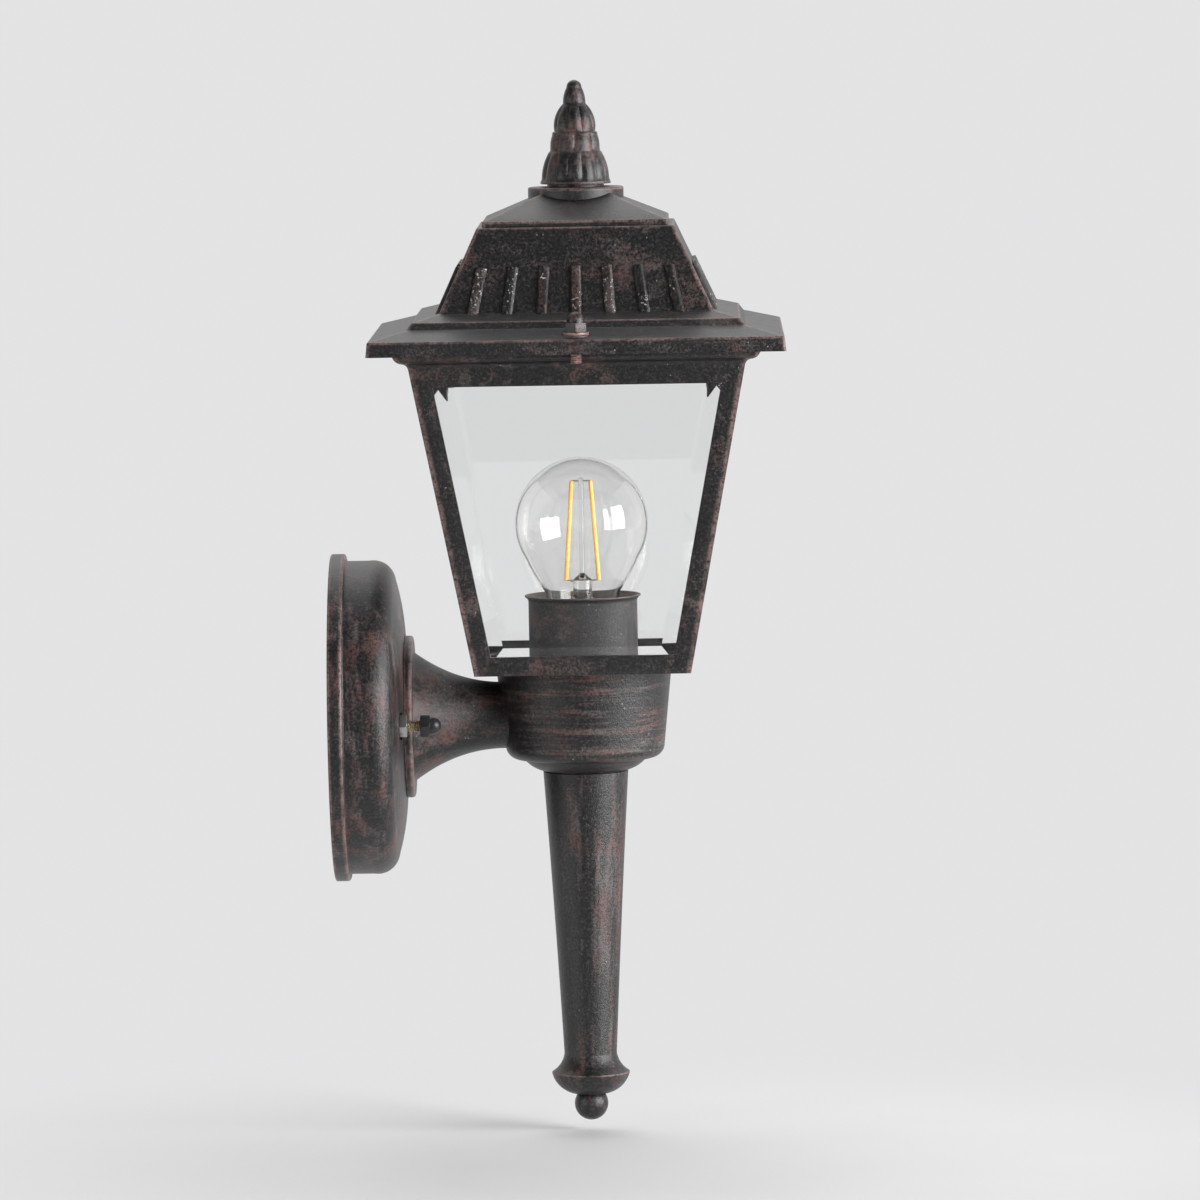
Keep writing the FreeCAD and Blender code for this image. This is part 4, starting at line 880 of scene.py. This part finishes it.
class SCONCE_OT_roof(Piece, bpy.types.Operator):
    """Tiered roof casting with its collar and stud pads."""

    bl_idname = "sconce.roof"
    bl_label = "Roof"

    def make(self):
        wall, down, collar_r, slope, rod_hole_r = 1.7, 2.0, 16.1, 0.433, 2.7
        skin = [(half, cage_top_z + height, bend) for half, height, bend in tiers]
        hip_half, hip_z = skin[-1][:2]
        peak_half = collar_r * 0.72
        peak_z = hip_z + (hip_half - peak_half) * slope
        outer = skin + [(peak_half, peak_z), (0.0, peak_z)]

        inside = [(half - wall, z - down) for half, z, _ in skin]
        seat_outer, seat_inner, eave_slope = 59.8, 53.3, 0.26
        seat_top = inside[1][1] + (inside[1][0] - seat_outer) * eave_slope
        inner = [(0.0, peak_z - down), (peak_half - wall, peak_z - down)]
        inner += [inside[7], inside[5], inside[4], inside[3], (seat_inner, inside[3][1] - 0.8)]
        inner += [(seat_inner, cage_top_z), (seat_outer, cage_top_z), (seat_outer, seat_top)]
        inner += [inside[1], (skin[0][0] - wall, skin[0][1])]
        outline = rounded(outer + inner[:1], closed=False)[:-1] + unworn(inner)
        shell = squared("roof_dressed", outline, sizes().corner)

        pad_r, pad_z, hole = 4.7, low["roof_washers"].z, 2.45
        pad = [(hole, pad_z - 3), (pad_r, pad_z - 3), (pad_r, pad_z, 0.4), (hole, pad_z, 0.2)]
        tools, parts = [], [shell]
        for way in (-1, 1):
            spot = (axis_x, way * roof_stud_y)
            tools.append(pin(pad_r, pad_z, pad_z + 8, "Z", spot))
            tools.append(pin(hole, cage_top_z - 5, pad_z + 5, "Z", spot))
            parts.append(turned("pad", rounded(pad), "Z", spot, 64))
        cut(shell, tools)
        collar = [(rod_hole_r, hip_z), (collar_r, hip_z), (collar_r, collar_top_z, 0.7)]
        parts.append(turned("collar", rounded(collar + [(rod_hole_r, collar_top_z)])))
        joined(parts, "roof_dressed")
        rib_tops = (cage_top_z + 28.0, 7.0)
        paint = cast_paint("Roof", corners=1.6, fine_mix=1.0, band=rib_tops)
        fitted(shell, "roof", paint, "castings", "roof", angle=30)


def rib_tree():
    """Geometry Nodes tree of equal bars that stand in a fan on each side of a square drum, with the
    identifiers of its inputs."""
    group = bpy.data.node_groups.new("Roof ribs", "GeometryNodeTree")
    group.interface.new_socket("Geometry", in_out="OUTPUT", socket_type="NodeSocketGeometry")
    lengths = "Width", "Depth", "Sunk", "Length", "Round", "Foot pitch", "Closing", "Foot half", "Lean"
    kinds = dict.fromkeys(("Ribs", "Sides"), "Int")
    kinds |= dict.fromkeys((*lengths, "Foot height", "Axis"), "Float") | {"Finish": "Material"}
    ids = {}
    for label, kind in kinds.items():
        made = group.interface.new_socket(label, in_out="INPUT", socket_type=f"NodeSocket{kind}")
        ids[label] = made.identifier
    entry = group.nodes.new("NodeGroupInput")
    nodes = Tree(group)
    given = {label: Signal(nodes, entry.outputs[label]) for label in kinds}

    def geometry(kind, settings=None, **inputs):
        named = {key.replace("_", " "): value for key, value in inputs.items()}
        return nodes.node(f"GeometryNode{kind}", settings, named)

    def vector(x=0.0, y=0.0, z=0.0):
        return nodes.node("ShaderNodeCombineXYZ", None, {0: x, 1: y, 2: z})

    # One bar: a rounded oblong drawn upwards, sunk into the drum
    section = geometry("CurvePrimitiveQuadrilateral", Width=given["Width"], Height=given["Depth"])
    section = geometry("FilletCurve", {"mode": "POLY"}, Curve=section, Radius=given["Round"], Count=3)
    foot = geometry("FillCurve", {"mode": "NGONS"}, Curve=section)
    rise = {"Offset": vector(z=1.0), "Offset_Scale": given["Length"]}
    top = geometry("ExtrudeMesh", {"mode": "FACES"}, Mesh=foot, **rise)
    whole = geometry("JoinGeometry", Geometry=[top, geometry("FlipFaces", Mesh=foot)])
    bar = geometry("MergeByDistance", Geometry=whole, Distance=1e-6)
    bar = geometry("Transform", Geometry=bar, Translation=vector(y=given["Sunk"] - given["Depth"] * 0.5))

    # A row of them along one side, each turned to the fan
    first = (given["Ribs"] - 1.0) * -0.5 * given["Foot pitch"]
    start = vector(first, given["Foot half"] * -1.0, given["Foot height"])
    way = {"Start_Location": start, "Offset": vector(x=given["Foot pitch"])}
    row = geometry("MeshLine", {"mode": "OFFSET"}, Count=given["Ribs"], **way)
    spot = nodes.node("GeometryNodeInputPosition")
    fan = nodes.node("ShaderNodeSeparateXYZ", None, {0: spot}) * given["Closing"]
    align = "FunctionNodeAlignRotationToVector"
    turn = nodes.node(align, {"axis": "Z"}, {"Vector": vector(fan, given["Lean"], 1.0)})
    outward = {"Rotation": turn, "Vector": (0.0, 1.0, 0.0)}
    turn = nodes.node(align, {"axis": "Y", "pivot_axis": "Z"}, outward)
    ribs = geometry("InstanceOnPoints", Points=row, Instance=bar, Rotation=turn)

    # The row again on every side
    centre = geometry("MeshLine", {"mode": "OFFSET"}, Count=given["Sides"], Offset=(0.0, 0.0, 0.0))
    share = 2 * math.pi / given["Sides"]
    quarter = vector(z=nodes.node("GeometryNodeInputIndex") * share)
    spin = nodes.node("FunctionNodeEulerToRotation", None, {0: quarter})
    sides = geometry("InstanceOnPoints", Points=centre, Instance=ribs, Rotation=spin)
    moved = geometry("Transform", Geometry=sides, Translation=vector(x=given["Axis"]))
    real = geometry("RealizeInstances", Geometry=moved)
    painted = geometry("SetMaterial", Geometry=real, Material=given["Finish"])
    nodes.node("NodeGroupOutput", None, {0: painted})
    return group, ids


class SCONCE_OT_ribs(Piece, bpy.types.Operator):
    """Ribs round the roof's drum."""

    bl_idname = "sconce.ribs"
    bl_label = "Roof ribs"

    def make(self):
        size = sizes()
        (foot_half, foot_z, _), (top_half, top_z, _) = drum_foot, drum_top
        lean = (foot_half - top_half) / (top_z - foot_z)
        foot_pitch, top_pitch, rise, sunk, fillet = 11.5, 10.35, 16.0, 1.4, 1.2
        lengths = {
            "Width": size.rib_width,
            "Depth": size.rib_proud + sunk,
            "Sunk": sunk,
            "Length": size.rib_length * math.sqrt(1 + lean * lean),
            "Round": fillet,
            "Foot pitch": foot_pitch,
            "Foot half": foot_half + rib_root * lean,
            "Foot height": cage_top_z + foot_z - rib_root,
            "Axis": axis_x,
        }
        values = {label: value * mm for label, value in lengths.items()}
        closing = -(1 - top_pitch / foot_pitch) / (rise * mm)
        values |= {"Ribs": size.rib_count, "Sides": 4, "Closing": closing, "Lean": lean}
        values["Finish"] = paint = cast_paint("Rib", chips=2.0, fine_mix=0.5)
        group, ids = rib_tree()
        ribs = placed("roof_ribs", bpy.data.meshes.new("roof_ribs"))
        modifier = ribs.modifiers.new(group.name, "NODES")
        modifier.node_group = group
        for label, value in values.items():
            modifier[ids[label]] = value
        fitted(applied(ribs), "roof", paint, "castings", angle=30)


class SCONCE_OT_finial(Piece, bpy.types.Operator):
    """Finial of a fluted bell, two tiers of petals and a bud."""

    bl_idname = "sconce.finial"
    bl_label = "Finial"

    def make(self):
        size = sizes()
        foot, tip = collar_top_z + 1.0, high["finial"].z
        neck, upper, bud = foot + 10.6, foot + 17.6, foot + 26.9
        foot_r, bell_r, bell_neck, low_r, low_top = 9.6, 11.9, 9.0, 8.5, 7.9
        high_r, high_top, bud_r, crown_r = 6.9, 4.3, 3.8, 2.55
        low_foot, low_end, crown = (low_r, neck + 0.4), (low_top, upper - 1.2), (crown_r, tip - crown_r)
        corners = [(0.0, collar_top_z), (foot_r, collar_top_z), (foot_r, foot), (bell_r, foot, 0.3)]
        corners.append((bell_r, foot + 0.6, 0.2))
        corners += arc((bell_r - 0.4, foot + 0.9), (bell_neck, neck), 0.75, 14)
        corners.append(low_foot)
        corners += arc(low_foot, low_end, 0.35, 10)
        corners += arc(low_end, (high_r, upper), 0.35, 5)
        corners += arc((high_r, upper), (high_top, bud - 0.5), 1.05, 14)
        corners.append((bud_r, bud))
        corners += arc((bud_r, bud), crown, 0.35, 8)
        corners += arc(crown, (0.0, tip), crown_r * (1 - math.sqrt(0.5)), 8)
        corners[-1] = (0.0, tip)

        def lobes(z, turn):
            """Valleys between flutes and petals at a height."""

            def valley(count, depth, start, end, shift=0.0):
                if not start < z < end:
                    return 0.0
                rise = (z - start) / (end - start)
                swell = min(1.0, 5.0 * rise, 5.0 * (1 - rise))
                return -depth * swell * (1 - abs(math.sin(count * turn / 2 + shift)) ** 0.7)

            depth = size.petal_depth
            change = valley(size.flutes, depth * 0.95, foot + 0.7, neck + 0.4)
            change += valley(size.petals, depth, neck + 0.3, upper + 0.2)
            return change + valley(size.petals, depth * 0.9, upper, bud, math.pi / 2)

        finial = turned("finial_dressed", rounded(corners, closed=False), segments=192, lobes=lobes)
        fitted(finial, "roof", cast_paint("Finial"), "castings", "finial", angle=50)


class SCONCE_OT_socket_cup(Piece, bpy.types.Operator):
    """Thin flared sleeve round the lampholder."""

    bl_idname = "sconce.socket_cup"
    bl_label = "Socket cup"

    def make(self):
        outer, thin, lip, ear_r = 18.4, 0.6, 0.5, 3.3
        foot, rim_z, rim_r = low["socket_cup"].z, high["socket_cup"].z, high["socket_cup"].x - axis_x
        inner, flare_z = outer - thin, rim_z - 2.2
        corners = [(inner, foot), (outer, foot), (outer, flare_z)]
        corners += arc((outer, flare_z), (rim_r, rim_z - 0.55), -0.3, 6)
        corners += [(rim_r, rim_z, 0.25), (rim_r - lip, rim_z, 0.2)]
        corners += arc((rim_r - lip, rim_z), (inner, flare_z), 0.3, 6)
        parts = [turned("socket_cup_dressed", rounded(corners), segments=96)]
        ear_y = high["socket_cup"].y - ear_r
        for y in (-ear_y, ear_y):
            parts.append(pin(ear_r, foot, foot + thin, "Z", (axis_x, y), 40))
        sleeve = joined(parts, "socket_cup_dressed")
        fitted(sleeve, "fixture", cast_paint("Sleeve"), "dark_sheet", "socket_cup")


class SCONCE_OT_bulb(Piece, bpy.types.Operator):
    """Clear globe bulb with its cap, stem, wires and filaments."""

    bl_idname = "sconce.bulb"
    bl_label = "Bulb"

    def make(self):
        self.globe()
        self.stem()
        self.filaments()
        self.cap()

    def globe(self):
        radius = (high["bulb_globe"].y - low["bulb_globe"].y) / 2
        centre_z, foot_z = high["bulb_globe"].z - radius, low["bulb_globe"].z
        neck_r, neck_h, last_turn, steps = 12.5, 9.7, math.radians(-31.8), 40

        def skin(wall):
            reach, neck = radius - wall, neck_r - wall
            points = [(0.0, centre_z + reach)]
            for step in range(1, steps + 1):
                turn = math.pi / 2 + (last_turn - math.pi / 2) * step / steps
                points.append((reach * math.cos(turn), centre_z + reach * math.sin(turn)))
            return points + arc(points[-1], (neck, foot_z + neck_h), -0.45, 8) + [(neck, foot_z)]

        profile = skin(0.0) + skin(sizes().bulb_wall)[::-1]
        shell = turned("bulb_globe_dressed", unworn(profile), segments=96)
        glass = clear_glass("Bulb glass", (0.985, 0.985, 0.98), 1.46, 0.004)
        fitted(shell, "bulb", glass, "bulb_glass", "bulb_globe", angle=50)

    def stem(self):
        foot_z, top_z = low["bulb_stem"].z, high["bulb_stem"].z
        flare, tube, rod = 11.2, 3.2, 0.8
        corners = [(0.0, foot_z), (flare, foot_z), (flare, foot_z + 1)]
        corners += arc((flare, foot_z + 1), (tube, pinch_z - 6), -2.2, 12)
        corners += [(tube, pinch_z - 2, 0.6), (rod, pinch_z, 0.6), (rod, top_z - 0.8)]
        corners += arc((rod, top_z - 0.8), (0.0, top_z), 0.23, 5)
        corners[-1] = (0.0, top_z)
        stem = turned("bulb_stem_dressed", rounded(corners, closed=False), segments=48)
        glass = clear_glass("Stem glass", (0.97, 0.975, 0.96), 1.5, 0.05)
        fitted(stem, "bulb", glass, "bulb_glass", "bulb_stem", angle=50)

    def filaments(self):
        foot_z, top_z = low["bulb_filaments"].z, high["bulb_filaments"].z
        foot_half, top_half, pinch_half, turns, wobble = 5.5, 3.2, 2.6, 2.5, 0.8
        rods, wires = [], []
        for side in (-1, 1):
            foot = Vector((axis_x + side * foot_half, 0.0, foot_z))
            top = Vector((axis_x + side * top_half, 0.0, top_z))
            pinch = Vector((axis_x + side * pinch_half, 0.0, pinch_z - 3))
            rods.append(tube_along("filament", [foot, (foot + top) / 2, top], 0.7, 20))
            bridge = [top, top.lerp(Vector((axis_x, 0.0, top.z)), 0.8)]
            coil = []
            for step in range(61):
                t = step / 60
                turn, swing = 2 * math.pi * turns * t, wobble * math.sin(math.pi * t)
                coil.append(pinch.lerp(foot, t) + swing * Vector((math.cos(turn), math.sin(turn), 0.6)))
            wires += [tube_along("wire", bridge, 0.22, 10), tube_along("wire", coil, 0.2, 10)]
        filaments = joined(rods, "bulb_filaments_dressed")
        fitted(filaments, "bulb", phosphor_painted_glow(), "phosphor", "bulb_filaments")
        support = joined(wires, "filament_wires_dressed")
        steel = metal("Support wire", (0.46, 0.45, 0.43), 0.32)
        fitted(support, "bulb", steel, "zinc_steel", "filament_wires", angle=60)

    def cap(self):
        foot, top = low["bulb_cap"].z, high["bulb_cap"].z
        outer = (high["bulb_cap"].y - low["bulb_cap"].y) / 2
        inner, button_r, taper_r, pitch, depth, steps = 12.55, 9.0, 12.0, 3.629, 0.75, 56

        def wave(z, turn):
            if not foot + 3 < z < top - 4:
                return 0.0
            phase = ((z - foot) / pitch - turn / (2 * math.pi)) % 1.0
            return -depth * (0.5 - 0.5 * math.cos(2 * math.pi * phase))

        rows = [(button_r, foot), (taper_r, foot + 1.6), (outer, foot + 2.8)]
        rows += [(outer, foot + 2.8 + (top - foot - 3.2) * step / steps) for step in range(1, steps + 1)]
        rows += [(inner, top), (inner, foot + 3.0), (button_r, foot + 0.6)]
        cap = turned("bulb_cap_dressed", unworn(rows), segments=72, lobes=wave)
        nickel = metal("Nickel plate", (0.66, 0.63, 0.57), 0.22)
        fitted(cap, "bulb", nickel, "nickel", "bulb_cap", angle=60)


def tube_along(name, points, radius, segments):
    """Closed round wire through points."""
    rings = [[points[0]]]
    side = None
    for i, point in enumerate(points):
        ahead = (points[min(i + 1, len(points) - 1)] - points[max(i - 1, 0)]).normalized()
        side = side - ahead * side.dot(ahead) if side else ahead.orthogonal()
        side.normalize()
        over = ahead.cross(side)
        turns = [2 * math.pi * step / segments for step in range(segments)]
        rings.append([point + radius * (side * math.cos(turn) + over * math.sin(turn)) for turn in turns])
    rings.append([points[-1]])
    return skinned(name, rings, [0.0] * len(rings), closed=False)


class SCONCE_OT_inner_parts(Piece, bpy.types.Operator):
    """Finishes of the fixing, clamping and wiring parts that stay as they are in the frame."""

    bl_idname = "sconce.inner_parts"
    bl_label = "Inner parts"

    def make(self):
        zinc = metal("Zinc plate", (0.58, 0.58, 0.57), 0.36, tarnish=0.6)
        yellow = metal("Yellow plate", colours().thread, 0.34)
        brass = metal("Brass", (0.72, 0.52, 0.22), 0.28)
        porcelain = plain("Porcelain", (0.84, 0.83, 0.79), 0.16, 0.04, 0.05, 0.3, Coat_Weight=0.4)
        plan = [
            (zinc, "mounting_strap arm_screws arm_nut tie_rod tie_rod_washer tie_rod_nut cage_screws"),
            (zinc, "finial_rod finial_nut holder_bracket bracket_screws holder_screws"),
            (yellow, "arm_nipple"),
            (brass, "lampholder_shell lampholder_contact bulb_contact earth_screw"),
            (porcelain, "lampholder_body"),
            (plain("Black vitrite", (0.014, 0.014, 0.018), 0.12, 0.2, 0.05), "bulb_insulator"),
            (plain("Connector plastic", (0.80, 0.80, 0.76), 0.42, 0.05, 0.12), "terminal_block"),
            (plain("Black insulation", (0.012, 0.012, 0.012), 0.36, 0.2, 0.1), "live_lead"),
            (plain("White insulation", (0.78, 0.78, 0.75), 0.38, 0.05, 0.1), "neutral_lead"),
            (plain("Green insulation", (0.03, 0.22, 0.06), 0.38, 0.15, 0.1), "earth_lead"),
        ]
        for finish, nodes in plan:
            for node in nodes.split():
                coated(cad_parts[node], finish)


# ---- stage


class SCONCE_OT_stage(Piece, bpy.types.Operator):
    """Pale floor, soft lamps and the camera."""

    bl_idname = "sconce.stage"
    bl_label = "Stage"

    def make(self):
        self.floor()
        self.world()
        self.lamps()
        self.camera()

    def floor(self):
        """Pale disc that is matte near the part, and further off looks like the background."""
        radius, thick = 6000.0, 20.0
        outline = [(0.0, floor_z), (radius, floor_z), (radius, floor_z - thick), (0.0, floor_z - thick)]
        floor = turned("floor", unworn(outline), segments=96)
        finish = Finish("Floor")
        place = finish.place()
        level = finish.moved(place, (axis_x, -60.0, floor_z), "SUBTRACT")
        reach = finish.node("ShaderNodeVectorMath", {"operation": "LENGTH"}, {0: level}, "Value")
        shiny = finish.ray("Glossy")
        seen = finish.ray("Camera").most(shiny).most(finish.ray("Transmission")) * reach.ramp(80.0, 280.0)
        ahead = finish.part(place, 1).ramp(-120.0, -320.0) * shiny
        tint = finish.mix(ahead, colours().background, (0.20, 0.20, 0.20))
        base = finish.mix(finish.noise(place, 0.02, 3.0), (0.80, 0.80, 0.805), (0.76, 0.76, 0.765))
        matte = finish.surface(Base_Color=base, Roughness=0.7, Specular_IOR_Level=0.2)
        glow = finish.node("ShaderNodeEmission", None, {"Color": tint, "Strength": 1.0})
        coated(floor, finish.done(finish.either(seen, matte, glow)))

    def world(self):
        """Even background to look at, and a tent that lights the part: white behind, above and to the
        right of it, dim towards the camera."""
        studio = Finish("Studio", "worlds")
        bpy.context.scene.world = studio.owner
        way = {0: studio.node("ShaderNodeTexCoord", output="Object"), 1: (0.15, 0.95, 0.20)}
        around = studio.node("ShaderNodeVectorMath", {"operation": "DOT_PRODUCT"}, way, "Value")
        span = {"Value": around, "From Min": -0.25, "From Max": 0.55, "To Min": 0.10, "To Max": 1.0}
        tent = studio.node("ShaderNodeMapRange", {"interpolation_type": "SMOOTHSTEP"}, span)
        fill = {"Color": tent, "Strength": bpy.context.scene.sconce_stage.fill}
        lit = studio.node("ShaderNodeBackground", None, fill)
        seen = studio.node("ShaderNodeBackground", None, {"Color": colours().background})
        straight = studio.ray("Camera").most(studio.ray("Transmission"))
        studio.done(studio.either(straight, lit, seen), "World")

    def lamps(self):
        """Soft lamps, each with its place and size in metres."""
        stage = bpy.context.scene.sconce_stage
        aim = Vector((axis_x, 0.0, 40.0)) * mm
        plan = {
            "Top lamp": ((0.10, 0.80, 1.20), (1.2, 1.2), stage.key_power),
            "Right lamp": ((1.41, -0.70, 0.26), (1.1, 1.0), stage.side_power),
            "Left lamp": ((-1.10, -0.92, 0.10), (0.60, 0.70), stage.side_power * 0.15),
        }
        for name, (spot, size, power) in plan.items():
            lamp = bpy.data.lights.new(name, "AREA")
            lamp.shape = "RECTANGLE"
            lamp.size, lamp.size_y = size
            lamp.energy = power
            holder = placed(name, lamp)
            holder.location = spot
            holder.rotation_euler = (aim - Vector(spot)).to_track_quat("-Z", "Y").to_euler()

    def camera(self):
        stage = bpy.context.scene.sconce_stage
        aim = Vector((90.8, 0.0, 38.5)) * mm
        turn, rise, lean = stage.azimuth, stage.elevation, stage.roll
        back = Vector((math.sin(turn) * math.cos(rise), -math.cos(turn) * math.cos(rise), math.sin(rise)))
        right = Vector((math.cos(turn), math.sin(turn), 0.0))
        upward = back.cross(right)
        side = right * math.cos(lean) + upward * math.sin(lean)
        over = upward * math.cos(lean) - right * math.sin(lean)
        lens = bpy.data.cameras.new("Camera")
        lens.sensor_width = 36.0
        lens.lens = stage.lens_per_metre * stage.distance
        lens.clip_start, lens.clip_end = 0.05, 30.0
        holder = placed("Camera", lens)
        frame_of = Matrix((side, over, back)).transposed().to_4x4()
        holder.matrix_world = Matrix.Translation(aim + back * stage.distance) @ frame_of
        bpy.context.scene.camera = holder
        bpy.context.scene.view_settings.view_transform = "Standard"


# ---- panel and registration

makers = [
    SCONCE_OT_canopy,
    SCONCE_OT_studs,
    SCONCE_OT_arm,
    SCONCE_OT_cup,
    SCONCE_OT_tail,
    SCONCE_OT_cage,
    SCONCE_OT_glazing,
    SCONCE_OT_roof,
    SCONCE_OT_ribs,
    SCONCE_OT_finial,
    SCONCE_OT_socket_cup,
    SCONCE_OT_bulb,
    SCONCE_OT_inner_parts,
    SCONCE_OT_stage,
]


class SCONCE_PT_panel(bpy.types.Panel):
    """Lists the pieces and their settings."""

    bl_idname = "SCONCE_PT_panel"
    bl_label = "Torch Sconce"
    bl_space_type = "VIEW_3D"
    bl_region_type = "UI"
    bl_category = "Torch Sconce"

    def draw(self, context):
        for name, kind in groups.items():
            box = self.layout.box()
            for setting in kind.__annotations__:
                box.prop(getattr(context.scene, name), setting)
        for maker in makers:
            self.layout.operator(maker.bl_idname)


groups = {"sconce_sizes": SconceSizes, "sconce_colours": SconceColours, "sconce_stage": SconceStage}


def register():
    for group in groups.values():
        bpy.utils.register_class(group)
    for name, group in groups.items():
        setattr(bpy.types.Scene, name, PointerProperty(type=group))
    for maker in makers + [SCONCE_PT_panel]:
        bpy.utils.register_class(maker)


def unregister():
    for maker in [SCONCE_PT_panel] + makers[::-1]:
        bpy.utils.unregister_class(maker)
    for name, group in groups.items():
        delattr(bpy.types.Scene, name)
        bpy.utils.unregister_class(group)


def main():
    register()
    for maker in makers:
        family, name = maker.bl_idname.split(".")
        getattr(getattr(bpy.ops, family), name)()


if __name__ == "__main__":
    main()
